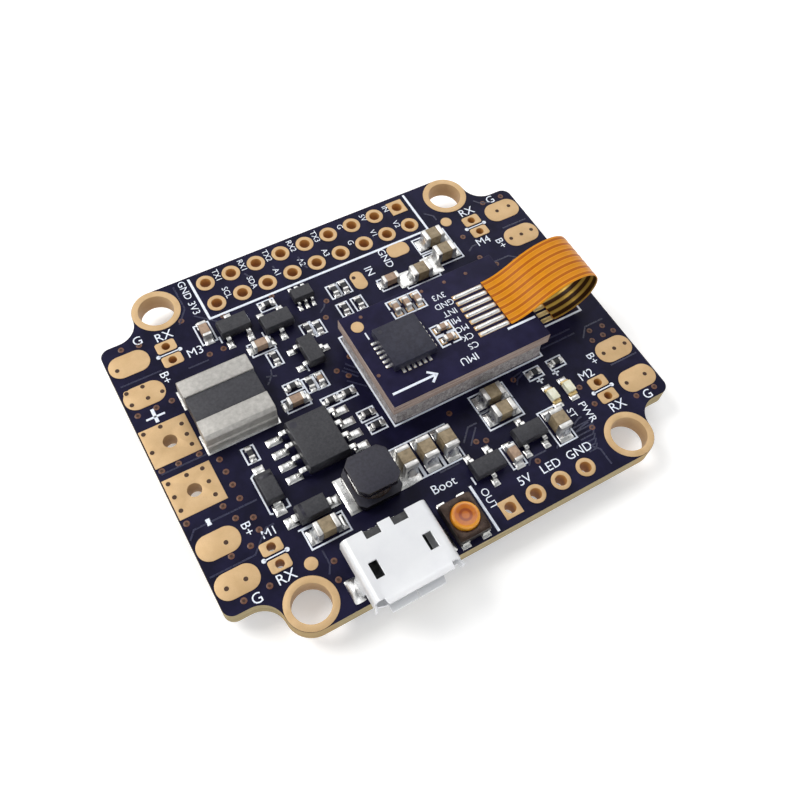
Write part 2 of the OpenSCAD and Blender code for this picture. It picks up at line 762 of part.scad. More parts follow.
// Middle of the ribbon's width at station i
function ribbon_middle(i) =
  ribbon_top_y + (ribbon_base_y - ribbon_top_y) * (1 - cos(180 * i / ribbon_last)) / 2;

// Corner k of the ribbon's section at station i
function ribbon_corner(i, k) =
  let (p = ribbon_path[i], n = ribbon_across(i), side = (k == 0 || k == 1) ? 1 : -1,
       edge = (k == 0 || k == 3) ? -1 : 1)
  [p[0] + n[0] * side * ribbon_t / 2, ribbon_middle(i) + edge * ribbon_w / 2,
   board_t + p[1] + n[1] * side * ribbon_t / 2];

module ribbon() {
  stations = [for (i = [0 : ribbon_last], k = [0 : 3]) ribbon_corner(i, k)];
  last = 4 * ribbon_last;
  sides = [for (i = [0 : ribbon_last - 1], k = [0 : 3])
    [4 * i + k, 4 * i + (k + 1) % 4, 4 * i + 4 + (k + 1) % 4, 4 * i + 4 + k]];
  color([0.85, 0.5, 0.1])
    polyhedron(stations, concat([[3, 2, 1, 0]], sides, [[last, last + 1, last + 2, last + 3]]),
               convexity = 6);
}

// ---- Underside ----

module processor_body() {
  color([0.13, 0.13, 0.14]) mirror([0, 0, 1]) translate([0, 0, 0.1])
    moulded_body(processor_w, processor_w, 1.4, 0.12);
}

module processor_leads() {
  span = (processor_leads_side - 1) / 2;
  color([0.8, 0.8, 0.78]) mirror([0, 0, 1])
    for (a = [0 : 90 : 270], i = [0 : processor_leads_side - 1]) rotate(a)
      translate([0, (i - span) * processor_pitch, 0])
        lead(processor_w / 2, processor_w / 2 + 1, 0.66, 0.22, 0.12);
}

module crystal_base() {
  color([0.8, 0.76, 0.66]) translate([crystal_at[0], crystal_at[1], -0.4])
    block([3.2, 2.5, 0.4]);
}

module crystal_lid() {
  color([0.76, 0.76, 0.74]) translate([crystal_at[0], crystal_at[1], -0.72])
    linear_extrude(0.32) round_plan([2.8, 2.1], 0.3);
}

module decoupling_capacitor_bodies() {
  color([0.62, 0.52, 0.4]) mirror([0, 0, 1])
    for (c = decoupling_capacitors) translate([c[0], c[1], 0]) rotate(c[2])
      chip_body(1, 0.5, 0.5, 0.25);
}

module decoupling_capacitor_ends() {
  color([0.76, 0.75, 0.73]) mirror([0, 0, 1])
    for (c = decoupling_capacitors) translate([c[0], c[1], 0]) rotate(c[2])
      chip_ends(1, 0.5, 0.5, 0.25);
}

board();
mounting_rings();
header_holes();
accessory_holes();
signal_pads();
motor_pads();
battery_pads();
test_pads();
component_pads();
ribbon_pads();
usb_shell();
usb_insulator();
usb_contacts();
boot_switch_base();
boot_switch_cover();
boot_switch_terminals();
boot_button();
shunt_element();
shunt_terminals();
regulator_body();
regulator_leads();
inductor_core();
inductor_winding();
inductor_terminals();
diode_bodies();
diode_leads();
power_capacitor_bodies();
power_capacitor_ends();
small_capacitor_bodies();
small_capacitor_ends();
resistor_bodies();
resistor_ends();
transistor_bodies();
transistor_leads();
switch_chip_body();
switch_chip_leads();
led_bases();
led_lenses();
led_ends();
sensor_foam();
sensor_board();
sensor_pads();
sensor_chip();
sensor_chip_contacts();
sensor_capacitor_bodies();
sensor_capacitor_ends();
ribbon();
ribbon_fingers();
processor_body();
processor_leads();
crystal_base();
crystal_lid();
decoupling_capacitor_bodies();
decoupling_capacitor_ends();
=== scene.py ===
import json
import math
import random

import bmesh
import bpy
import numpy as np
from mathutils import Matrix, Vector


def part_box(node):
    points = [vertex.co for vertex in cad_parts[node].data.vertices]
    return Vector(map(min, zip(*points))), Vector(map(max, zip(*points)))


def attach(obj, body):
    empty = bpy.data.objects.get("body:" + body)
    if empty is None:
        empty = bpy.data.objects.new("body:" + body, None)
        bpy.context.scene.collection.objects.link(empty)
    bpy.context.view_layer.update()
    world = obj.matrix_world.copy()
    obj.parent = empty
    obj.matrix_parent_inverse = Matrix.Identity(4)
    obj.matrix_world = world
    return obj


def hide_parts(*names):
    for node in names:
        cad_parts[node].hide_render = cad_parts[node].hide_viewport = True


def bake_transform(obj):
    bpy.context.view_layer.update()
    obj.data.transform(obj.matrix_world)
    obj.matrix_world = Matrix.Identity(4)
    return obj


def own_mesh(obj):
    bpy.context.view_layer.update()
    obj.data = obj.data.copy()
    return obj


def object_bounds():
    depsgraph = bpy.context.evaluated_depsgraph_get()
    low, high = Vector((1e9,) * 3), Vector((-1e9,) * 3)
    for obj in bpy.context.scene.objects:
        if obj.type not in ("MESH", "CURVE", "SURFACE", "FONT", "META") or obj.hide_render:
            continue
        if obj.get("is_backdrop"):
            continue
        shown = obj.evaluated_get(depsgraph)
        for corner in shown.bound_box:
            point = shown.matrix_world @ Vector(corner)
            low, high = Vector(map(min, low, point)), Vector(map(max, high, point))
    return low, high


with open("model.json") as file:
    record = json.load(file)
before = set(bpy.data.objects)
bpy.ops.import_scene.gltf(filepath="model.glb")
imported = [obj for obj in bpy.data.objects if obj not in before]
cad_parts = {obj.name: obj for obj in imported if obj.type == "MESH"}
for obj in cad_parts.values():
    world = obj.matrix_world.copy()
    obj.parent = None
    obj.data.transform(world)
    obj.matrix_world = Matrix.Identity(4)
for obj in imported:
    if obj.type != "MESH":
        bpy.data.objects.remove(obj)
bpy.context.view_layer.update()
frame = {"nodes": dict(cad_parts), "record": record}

RNG = random.Random(7)
MM = 0.001
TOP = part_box("board")[1][2] / MM          # component side of the main board
SENSOR_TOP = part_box("sensor_board")[1][2] / MM
MAIN, SENSOR = "main_board", "sensor"
FOIL = 0.05                # pads stand this far over a board
INK_T = 0.022              # thickness of the white print
HOLE_HALF_PITCH = 15.25    # mounting holes, from the middle of the board


# ---- materials ----

class Shader:
    """A Principled material and short ways to add procedural nodes to it."""

    def __init__(self, name):
        self.mat = bpy.data.materials.new(name)
        self.mat.use_nodes = True
        self.nodes = self.mat.node_tree.nodes
        self.bsdf = self.nodes["Principled BSDF"]
        coord = self.nodes.new("ShaderNodeTexCoord")
        self.place = coord.outputs["Object"]
        self.uv = coord.outputs["UV"]

    def link(self, a, b):
        self.mat.node_tree.links.new(a, b)

    def put(self, socket, value):
        if isinstance(value, bpy.types.NodeSocket):
            self.link(value, socket)
        elif isinstance(value, (tuple, list)) and len(value) == 3 and socket.type == "RGBA":
            socket.default_value = (*value, 1)
        else:
            socket.default_value = value

    def set(self, **values):
        for key, value in values.items():
            self.put(self.bsdf.inputs[key.replace("_", " ")], value)

    def noise(self, scale, detail=3.0, rough=0.55, stretch=None):
        n = self.nodes.new("ShaderNodeTexNoise")
        self.put(n.inputs["Scale"], scale)
        self.put(n.inputs["Detail"], detail)
        self.put(n.inputs["Roughness"], rough)
        source = self.place
        if stretch:
            m = self.nodes.new("ShaderNodeMapping")
            m.inputs["Scale"].default_value = stretch
            self.link(source, m.inputs["Vector"])
            source = m.outputs["Vector"]
        self.link(source, n.inputs["Vector"])
        return n.outputs["Fac"]

    def mottle(self, scale, low=0.3, high=0.7, detail=3.0, rough=0.55):
        """Noise from 0 to 1 between two levels of it."""
        return self.remap(self.noise(scale, detail, rough), low, high, 0, 1)

    def gloss(self, scale, low, high):
        return self.remap(self.noise(scale), 0.3, 0.7, low, high)

    def cells(self, scale):
        n = self.nodes.new("ShaderNodeTexVoronoi")
        self.put(n.inputs["Scale"], scale)
        self.link(self.place, n.inputs["Vector"])
        return n.outputs["Distance"]

    def remap(self, value, a, b, c, d, smooth=False):
        n = self.nodes.new("ShaderNodeMapRange")
        n.interpolation_type = "SMOOTHSTEP" if smooth else "LINEAR"
        self.put(n.inputs["Value"], value)
        for key, number in zip(("From Min", "From Max", "To Min", "To Max"), (a, b, c, d)):
            n.inputs[key].default_value = number
        return n.outputs["Result"]

    def mix(self, fac, a, b):
        n = self.nodes.new("ShaderNodeMix")
        n.data_type = "RGBA"
        self.put(n.inputs[0], fac)
        self.put(n.inputs[6], a)
        self.put(n.inputs[7], b)
        return n.outputs[2]

    def math(self, op, a, b=0.0):
        n = self.nodes.new("ShaderNodeMath")
        n.operation = op
        self.put(n.inputs[0], a)
        self.put(n.inputs[1], b)
        return n.outputs[0]

    def length(self, x, y):
        squares = [self.math("MULTIPLY", v, v) for v in (x, y)]
        return self.math("SQRT", self.math("ADD", *squares))

    def axis(self, vector, index):
        n = self.nodes.new("ShaderNodeSeparateXYZ")
        self.link(vector, n.inputs[0])
        return n.outputs[index]

    def facing(self, index):
        return self.axis(self.nodes.new("ShaderNodeNewGeometry").outputs["Normal"], index)

    def bump(self, height, distance, strength=1.0):
        n = self.nodes.new("ShaderNodeBump")
        n.inputs["Strength"].default_value = strength
        n.inputs["Distance"].default_value = distance
        self.put(n.inputs["Height"], height)
        self.link(n.outputs["Normal"], self.bsdf.inputs["Normal"])


def simple(name, low, high, scale=2500, rough=(0.4, 0.55), bump=0.0, bump_scale=9000, **fixed):
    """Two near colours mottled together, uneven gloss and a fine grain."""
    s = Shader(name)
    s.set(Base_Color=s.mix(s.mottle(scale, 0.35, 0.65), low, high), Roughness=s.gloss(scale * 1.7, *rough))
    if bump:
        s.bump(s.noise(bump_scale, 4.0), bump)
    s.set(**fixed)
    return s.mat


def laminate(name, mask_low, mask_high, edge_low, edge_high):
    """Solder mask on the faces, layered glass fibre on the cut edges."""
    s = Shader(name)
    up = s.math("ABSOLUTE", s.facing(2))
    cloudy = s.noise(420, 4.0, 0.6)
    weave = s.noise(3600, 2.0, 0.5)
    mask = s.mix(s.remap(cloudy, 0.38, 0.62, 0, 1), mask_low, mask_high)
    layers = s.noise(900, 2.0, 0.5, stretch=(0.35, 0.35, 14))
    threads = s.noise(5200, 3.0, 0.6, stretch=(1, 1, 0.5))
    edge = s.mix(s.remap(layers, 0.35, 0.65, 0, 1), edge_low, edge_high)
    edge = s.mix(s.remap(threads, 0.5, 0.75, 0, 0.45), edge, edge_high)
    from_hole = [s.math("SUBTRACT", s.math("ABSOLUTE", s.axis(s.place, i)), HOLE_HALF_PITCH * MM)
                 for i in (0, 1)]
    lobe = s.remap(s.length(*from_hole), 2.25 * MM, 2.6 * MM, 0.55, 0)
    edge = s.mix(lobe, edge, (0.42, 0.27, 0.115))
    face = s.remap(up, 0.5, 0.8, 0, 1)
    s.set(Base_Color=s.mix(face, edge, mask),
          Roughness=s.remap(face, 0, 1, 0.85, 0.40), Specular_IOR_Level=0.11)
    s.bump(s.math("ADD", s.math("MULTIPLY", weave, 0.35), s.math("MULTIPLY", cloudy, 0.7)),
           0.000012, 0.5)
    return s.mat


def gold_plate(name, shallow, shaded_deep):
    """Immersion gold: pale tan on the flats, warmer on the hole walls and darkened further down them as
    painted shade.
    """
    s = Shader(name)
    wall = s.remap(s.math("ABSOLUTE", s.facing(2)), 0.15, 0.6, 1, 0)
    # painted shade: the wall colour runs from the shallow tone at the rim to the darker deep tone at the
    # bottom of the hole
    depth_shade = s.remap(s.axis(s.place, 2), (TOP - 1.1) * MM, (TOP + 0.02) * MM, 1, 0, True)
    flat = s.mix(s.mottle(700, 0.35, 0.65, 4.0), (0.58, 0.385, 0.19), (0.65, 0.445, 0.235))
    flat = s.mix(s.remap(s.noise(15000, 2.0), 0.45, 0.75, 0, 0.3), flat, (0.47, 0.30, 0.14))
    s.set(Base_Color=s.mix(wall, flat, s.mix(depth_shade, shallow, shaded_deep)), Metallic=0.3,
          Roughness=s.gloss(4000, 0.42, 0.56))
    s.bump(s.noise(7000, 3.0), 0.000008, 0.5)
    return s.mat


def metal(name, low, high, rough, scale=1800, grain=0.00001, metallic=1.0):
    s = Shader(name)
    s.set(Base_Color=s.mix(s.mottle(scale, detail=4.0, rough=0.6), low, high),
          Metallic=metallic, Roughness=s.remap(s.noise(scale * 0.8, 3.0, 0.6), 0.3, 0.7, *rough))
    s.bump(s.noise(scale * 2.2, 4.0, 0.6), grain, 0.7)
    return s.mat


def ribbon_film(name, gap, line, rim_shading, metallic, wide):
    """Polyimide film over seven copper lines; UV x runs across the ribbon in pitches."""
    s = Shader(name)
    across = s.math("FRACT", s.axis(s.uv, 0))
    edge = s.math("ABSOLUTE", s.math("SUBTRACT", across, 0.5))
    copper = s.remap(edge, wide - 0.05, wide + 0.05, 1, 0, True)
    # the band along each copper line's edges takes the rim colour: a painted highlight on the outside film, a
    # darker edge on the inside film
    rim = s.math("MULTIPLY", s.remap(edge, wide - 0.12, wide - 0.02, 0, 1, True), copper)
    base = s.mix(copper, gap, s.mix(s.mottle(1200, detail=4.0), line, [c * 0.9 for c in line]))
    base = s.mix(s.math("MULTIPLY", rim, 0.7), base, rim_shading)
    s.set(Base_Color=base, Roughness=s.gloss(2600, 0.3, 0.44),
          Metallic=s.math("MULTIPLY", copper, metallic), Specular_IOR_Level=0.13)
    s.bump(copper, 0.00002, 0.6)
    return s.mat


MATS = {
    "mask": laminate("solder_mask", (0.005, 0.0045, 0.019), (0.010, 0.009, 0.034),
                     (0.27, 0.215, 0.115), (0.42, 0.345, 0.20)),
    "sensor_mask": laminate("sensor_solder_mask", (0.009, 0.0075, 0.029), (0.015, 0.013, 0.046),
                            (0.22, 0.155, 0.13), (0.44, 0.36, 0.32)),
    "track": simple("masked_copper", (0.018, 0.019, 0.048), (0.028, 0.030, 0.070),
                    rough=(0.25, 0.34), Specular_IOR_Level=0.4),
    "via": simple("masked_via", (0.085, 0.03, 0.018), (0.17, 0.07, 0.035), 6000, (0.3, 0.4)),
    # painted shade: near-black brown for the shadowed inside of via holes
    "hole_shade": simple("painted_hole_shade", (0.035, 0.014, 0.006), (0.06, 0.022, 0.008), 6000, (0.6, 0.8)),
    "ink": simple("white_ink", (0.72, 0.78, 0.90), (0.88, 0.92, 0.98), 5200, (0.55, 0.7), 0.000004),
    # each gold's second colour is the painted shade at the bottom of the hole walls
    "gold": gold_plate("immersion_gold", (0.62, 0.33, 0.10), (0.42, 0.16, 0.02)),
    "gold_wide": gold_plate("immersion_gold_wide", (0.52, 0.345, 0.175), (0.43, 0.265, 0.125)),
    "solder": metal("solder", (0.66, 0.66, 0.65), (0.92, 0.92, 0.90), (0.2, 0.4), 1800, 0.000014),
    "tin": metal("tinned_ends", (0.60, 0.59, 0.57), (0.84, 0.83, 0.81), (0.3, 0.5), 2200, 0.00001),
    "lead": metal("bright_leads", (0.66, 0.66, 0.64), (0.90, 0.90, 0.87), (0.2, 0.38), 3000),
    "shell": metal("usb_steel", (0.71, 0.72, 0.745), (0.79, 0.80, 0.815), (0.36, 0.46), 260, 0.000001,
                   metallic=0.35),
    "shunt_metal": metal("shunt_metal", (0.34, 0.33, 0.31), (0.49, 0.475, 0.45), (0.4, 0.56), 2600,
                         0.00001, metallic=0.45),
    "shunt_dark": simple("shunt_coating", (0.020, 0.020, 0.027), (0.036, 0.036, 0.045), 3800, (0.45, 0.6),
                         0.00001),
    "epoxy": simple("chip_epoxy", (0.015, 0.015, 0.020), (0.030, 0.030, 0.037), 5200, (0.38, 0.54),
                    0.000008, 14000),
    "sensor_epoxy": simple("sensor_epoxy", (0.012, 0.012, 0.025), (0.022, 0.022, 0.040), 2600,
                           (0.34, 0.46), 0.000005, 16000, Specular_IOR_Level=0.35),
    "wire": simple("coil_enamel", (0.010, 0.006, 0.006), (0.030, 0.014, 0.009), 3000, (0.15, 0.3)),
    "ceramic": simple("capacitor_ceramic", (0.20, 0.15, 0.085), (0.32, 0.25, 0.155), 2400, (0.4, 0.6),
                      0.00001),
    "ceramic_pink": simple("capacitor_ceramic_pink", (0.30, 0.20, 0.14), (0.42, 0.29, 0.20), 3000,
                           (0.45, 0.6), 0.00001),
    "resistor": simple("resistor_coating", (0.012, 0.012, 0.015), (0.028, 0.028, 0.034), 5000,
                       (0.4, 0.6), 0.00001),
    "led_white": simple("led_carrier", (0.68, 0.66, 0.56), (0.84, 0.82, 0.72), 3500, (0.4, 0.55)),
    "led_lens": simple("led_lens", (0.80, 0.76, 0.52), (0.90, 0.87, 0.68), 2600, (0.18, 0.3),
                       Coat_Weight=0.4, Subsurface_Weight=0.15),
    "black_plastic": simple("switch_plastic", (0.012, 0.009, 0.009), (0.026, 0.020, 0.019), 4200,
                            (0.35, 0.5), 0.00001),
    "cover": metal("switch_cover", (0.030, 0.018, 0.014), (0.065, 0.042, 0.032), (0.24, 0.36), 2200,
                   0.000005, metallic=0.7),
    "usb_plastic": simple("usb_plastic", (0.02, 0.02, 0.022), (0.04, 0.04, 0.043), 3000, (0.4, 0.55)),
    "crystal": metal("crystal_lid_metal", (0.60, 0.58, 0.52), (0.78, 0.76, 0.69), (0.3, 0.42)),
    "crystal_case": simple("crystal_case", (0.45, 0.40, 0.30), (0.58, 0.53, 0.42), 4000, (0.6, 0.75)),
    "film_out": ribbon_film("ribbon_outside", (0.40, 0.105, 0.003), (0.64, 0.235, 0.006),
                            (0.78, 0.33, 0.020), 0.0, 0.31),
    # the inside face: a shaded copy of the film, its gaps painted nearly black as shade under the loop, with
    # gold copper lines
    "film_in_shaded": ribbon_film("ribbon_inside_shaded", (0.034, 0.011, 0.002), (0.50, 0.33, 0.07),
                           (0.34, 0.17, 0.02), 0.35, 0.22),
    "gold_finger": simple("ribbon_gold", (0.60, 0.43, 0.17), (0.76, 0.58, 0.28), 4200, (0.3, 0.42),
                          0.00002, Metallic=0.6),
}


def amber():
    s = Shader("amber_plastic")
    swirl = s.mottle(900, 0.35, 0.65)
    lo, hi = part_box("boot_button")
    out = s.length(*(s.math("SUBTRACT", s.axis(s.place, i), (lo[i] + hi[i]) / 2) for i in (0, 1)))
    # painted shade: a darker ring round the middle, the shading of the dome under the film
    ring = s.math("MULTIPLY", s.remap(out, 0.25 * MM, 0.38 * MM, 0, 1, True),
                  s.remap(out, 0.5 * MM, 0.62 * MM, 1, 0, True))
    # painted highlight: a lighter amber band round the edge, the lit side of the plunger
    rim = s.remap(out, 0.82 * MM, 1.05 * MM, 0, 1, True)
    colour = s.mix(swirl, (0.40, 0.095, 0.006), (0.50, 0.145, 0.008))
    colour = s.mix(s.math("MULTIPLY", ring, 0.75), colour, (0.22, 0.035, 0.008))
    colour = s.mix(rim, colour, s.mix(swirl, (0.62, 0.22, 0.012), (0.72, 0.30, 0.02)))
    s.set(Base_Color=colour,
          Roughness=s.gloss(3000, 0.14, 0.26), Coat_Weight=0.2,
          Coat_Roughness=0.16, Subsurface_Weight=0.15, Subsurface_Scale=0.0003)
    s.bump(s.noise(3500, 3.0), 0.00001, 0.5)
    return s.mat


def foam():
    s = Shader("soft_foam")
    pore_shade = s.cells(5200)
    fine = s.noise(11000, 4.0, 0.65)
    base = s.mix(s.mottle(2300, 0.40, 0.60, 4.0, 0.6), (0.30, 0.27, 0.27), (0.58, 0.54, 0.535))
    base = s.mix(s.remap(fine, 0.42, 0.58, 0.65, 0), base, (0.13, 0.115, 0.12))
    # painted shade in the pores: darker spots at the cell centres
    base = s.mix(s.remap(pore_shade, 0.0, 0.28, 0.5, 0), base, (0.10, 0.09, 0.095))
    s.set(Base_Color=base, Roughness=0.95, Specular_IOR_Level=0.15, Sheen_Weight=0.2)
    s.bump(s.math("ADD", pore_shade, fine), 0.00009, 0.9)
    return s.mat


def ferrite():
    """Slate top face over glossy, nearly black sides."""
    s = Shader("ferrite")
    top = s.remap(s.facing(2), 0.6, 0.95, 0, 1)
    grain = s.mottle(4200, 0.35, 0.65, 4.0)
    s.set(Base_Color=s.mix(top, s.mix(grain, (0.006, 0.005, 0.007), (0.014, 0.012, 0.015)),
                           s.mix(grain, (0.011, 0.0105, 0.020), (0.021, 0.020, 0.035))),
          Roughness=s.remap(top, 0, 1, 0.2, 0.5))
    s.bump(s.noise(5200, 4.0), 0.00001, 0.7)
    return s.mat


MATS["amber"] = amber()
MATS["foam"] = foam()
MATS["ferrite"] = ferrite()


# ---- mesh helpers ----

def box_mm(node):
    """Low and high corner of a CAD node, in millimetres."""
    return [np.array(corner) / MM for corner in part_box(node)]


def add_object(name, data):
    obj = bpy.data.objects.new(name, data)
    bpy.context.collection.objects.link(obj)
    return obj


def dress(mesh, mats, sharp):
    """Materials and smooth shading, with hard edges past an angle in degrees."""
    for m in mats:
        mesh.materials.append(MATS[m])
    mesh.polygons.foreach_set("use_smooth", [True] * len(mesh.polygons))
    mesh.set_sharp_from_angle(angle=math.radians(sharp))


def grid(steps):
    """Quads over a square net of points, row by row."""
    row = steps + 1
    corners = [j * row + i for j in range(steps) for i in range(steps)]
    return [(a, a + 1, a + row + 1, a + row) for a in corners]


class Batch:
    """Collects small shapes, in millimetres, into one object."""

    def __init__(self):
        self.verts, self.faces, self.kinds = [], [], []

    def add(self, verts, faces, kind=0):
        n = len(self.verts)
        self.verts += [tuple(v) for v in verts]
        self.faces += [tuple(n + i for i in f) for f in faces]
        self.kinds += [kind] * len(faces)

    def strip(self, points, width, z, height, closed=False):
        """A raised line along points in the plane, with mitred corners and square ends."""
        pts = [Vector(p) for p in points]
        count = len(pts)
        sides = []
        for i, p in enumerate(pts):
            before = pts[(i - 1) % count] if closed or i else None
            after = pts[(i + 1) % count] if closed or i < count - 1 else None
            a = (p - before).normalized() if before is not None else (after - p).normalized()
            b = (after - p).normalized() if after is not None else a
            n = Vector((-(a + b).y, (a + b).x)).normalized()
            reach = width / 2 / max(0.4, n.dot(Vector((-a.y, a.x))))
            sides.append((p + n * reach, p - n * reach))
        verts, faces = [], []
        for left, right in sides:
            verts += [(*left, z), (*left.lerp(right, 0.12), z + height),
                      (*left.lerp(right, 0.88), z + height), (*right, z)]
        for i in range(count if closed else count - 1):
            a, b = 4 * i, 4 * ((i + 1) % count)
            faces += [(a, b, b + 1, a + 1), (a + 1, b + 1, b + 2, a + 2), (a + 2, b + 2, b + 3, a + 3)]
        if not closed:
            last = 4 * (count - 1)
            faces += [(0, 1, 2, 3), (last + 3, last + 2, last + 1, last)]
        self.add(verts, [f[::-1] for f in faces])

    def frame(self, x0, y0, x1, y1, width, z, height):
        self.strip([(x0, y0), (x1, y0), (x1, y1), (x0, y1)], width, z, height, closed=True)

    def lathe(self, x, y, profile, steps=20, kind=0):
        """Rings of (radius, z) about an upright axis; a radius of 0 closes the shape."""
        verts, faces = [], []
        for r, z in profile:
            for k in range(steps):
                a = 2 * math.pi * k / steps
                verts.append((x + r * math.cos(a), y + r * math.sin(a), z))
        for i in range(len(profile) - 1):
            for k in range(steps):
                a, b = i * steps + k, i * steps + (k + 1) % steps
                faces.append((a, b, b + steps, a + steps))
        self.add(verts, faces, kind)

    def mound(self, lo, hi, z, height, power=3.0):
        """A smooth low heap that fills the rectangle lo to hi."""
        self.surface(lo, hi, z, lambda u, v: height * (1 - abs(u) ** power) * (1 - abs(v) ** power))

    def surface(self, lo, hi, z, rise, steps=7):
        """A net over the rectangle lo to hi, lifted by rise(u, v) with u and v from -1 to 1."""
        verts = []
        cx, cy = (lo[0] + hi[0]) / 2, (lo[1] + hi[1]) / 2
        rx, ry = (hi[0] - lo[0]) / 2, (hi[1] - lo[1]) / 2
        for j in range(steps + 1):
            for i in range(steps + 1):
                u, v = 2 * i / steps - 1, 2 * j / steps - 1
                su, sv = math.sin(u * math.pi / 2), math.sin(v * math.pi / 2)
                square = math.sqrt(max(0.0, 1 - 0.12 * su * su * sv * sv))
                verts.append((cx + rx * su * square, cy + ry * sv * square, z + rise(su, sv)))
        self.add(verts, grid(steps))

    def fillet(self, box, way, reach, z, steps=6):
        """Solder drawn up the outer face of a chip's end, hollow in the middle."""
        lo, hi = box
        axis = 0 if abs(way[0]) > abs(way[1]) else 1
        sign = 1 if way[axis] > 0 else -1
        face = hi[axis] if sign > 0 else lo[axis]
        side = 1 - axis
        half = (hi[side] - lo[side]) / 2 * 1.04
        mid = (hi[side] + lo[side]) / 2
        tall = (hi[2] - z) * 0.72
        verts = []
        for j in range(steps + 1):
            t = j / steps
            for i in range(steps + 1):
                v = 2 * i / steps - 1
                up = tall * ((1 - t) ** 2.2) * (1 - 0.35 * v * v) * (1 - abs(v) ** 8 * 0.8)
                out = face + sign * (reach * t - 0.02 * (1 - t))
                across = mid + half * v * (1 - 0.12 * t * t)
                p = [0, 0, z + max(0.0, up)]
                p[axis], p[side] = out, across
                verts.append(tuple(p))
        outward = 1 if (axis == 1) == (sign < 0) else -1
        self.add(verts, [quad[::outward] for quad in grid(steps)])

    def letters(self, text, x, y, size, turn, z, flip=False):
        """Flat generic lettering, centred on x, y."""
        curve = bpy.data.curves.new("letters", "FONT")
        curve.body, curve.size = text, size
        curve.align_x, curve.align_y = "CENTER", "CENTER"
        curve.resolution_u = 3
        holder = add_object("letters", curve)
        bpy.context.view_layer.update()
        mesh = holder.to_mesh()
        a = math.radians(turn)
        c, s = math.cos(a), math.sin(a)
        m = -1 if flip else 1
        verts = [(x + m * (v.co.x * c - v.co.y * s), y + v.co.x * s + v.co.y * c, z)
                 for v in mesh.vertices]
        faces = [tuple(p.vertices)[::m] for p in mesh.polygons]
        self.add(verts, faces)
        holder.to_mesh_clear()
        bpy.data.objects.remove(holder)
        bpy.data.curves.remove(curve)

    def mesh(self, name, mats, smooth=True):
        mesh = bpy.data.meshes.new(name)
        mesh.from_pydata([(a * MM, b * MM, c * MM) for a, b, c in self.verts], [], self.faces)
        for m in mats:
            mesh.materials.append(MATS[m])
        mesh.polygons.foreach_set("material_index", self.kinds)
        mesh.polygons.foreach_set("use_smooth", [smooth] * len(mesh.polygons))
        mesh.update()
        return mesh

    def make(self, name, body, mats, smooth=True):
        obj = add_object(name, self.mesh(name, mats, smooth))
        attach(obj, body)
        return obj


def islands(node):
    """Boxes, in millimetres, of the separate solids in a CAD node."""
    mesh = frame["nodes"][node].data
    keys, ids = {}, []
    for v in mesh.vertices:
        key = tuple(round(c * 1e6) for c in v.co)
        ids.append(keys.setdefault(key, len(keys)))
    parent = list(range(len(keys)))

    def root(i):
        while parent[i] != i:
            parent[i] = parent[parent[i]]
            i = parent[i]
        return i

    for p in mesh.polygons:
        first = root(ids[p.vertices[0]])
        for v in p.vertices[1:]:
            parent[root(ids[v])] = first
    groups = {}
    for v, i in zip(mesh.vertices, ids):
        groups.setdefault(root(i), []).append(tuple(c / MM for c in v.co))
    boxes = []
    for points in groups.values():
        a = np.array(points)
        boxes.append((a.min(0), a.max(0)))
    return boxes


def middle(box):
    return (box[0] + box[1]) / 2


def detail(node, mat, bevel):
    """A copy of a CAD node with soft edges and a better finish, which stands for the node."""
    source = frame["nodes"][node]
    mesh = bpy.data.meshes.new(node + "_look")
    bm = bmesh.new()
    bm.from_mesh(source.data)
    bm.transform(source.matrix_world)
    bmesh.ops.remove_doubles(bm, verts=bm.verts, dist=2e-7)
    bmesh.ops.dissolve_limit(bm, angle_limit=math.radians(1.0), verts=bm.verts, edges=bm.edges)
    if bevel:
        sharp = [e for e in bm.edges if len(e.link_faces) == 2
                 and e.calc_face_angle(0) > math.radians(30)]
        bmesh.ops.bevel(bm, geom=sharp, offset=bevel * MM, segments=2, profile=0.6,
                        affect="EDGES", clamp_overlap=True)
    bmesh.ops.recalc_face_normals(bm, faces=bm.faces)
    bm.to_mesh(mesh)
    bm.free()
    dress(mesh, [mat], 38)
    mesh.update()
    obj = add_object(node + "_look", mesh)
    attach(obj, next(b for b, nodes in BODIES.items() if node in nodes))
    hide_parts(node)
    return obj


BODIES = frame["record"]["behaviour"]["bodies"]

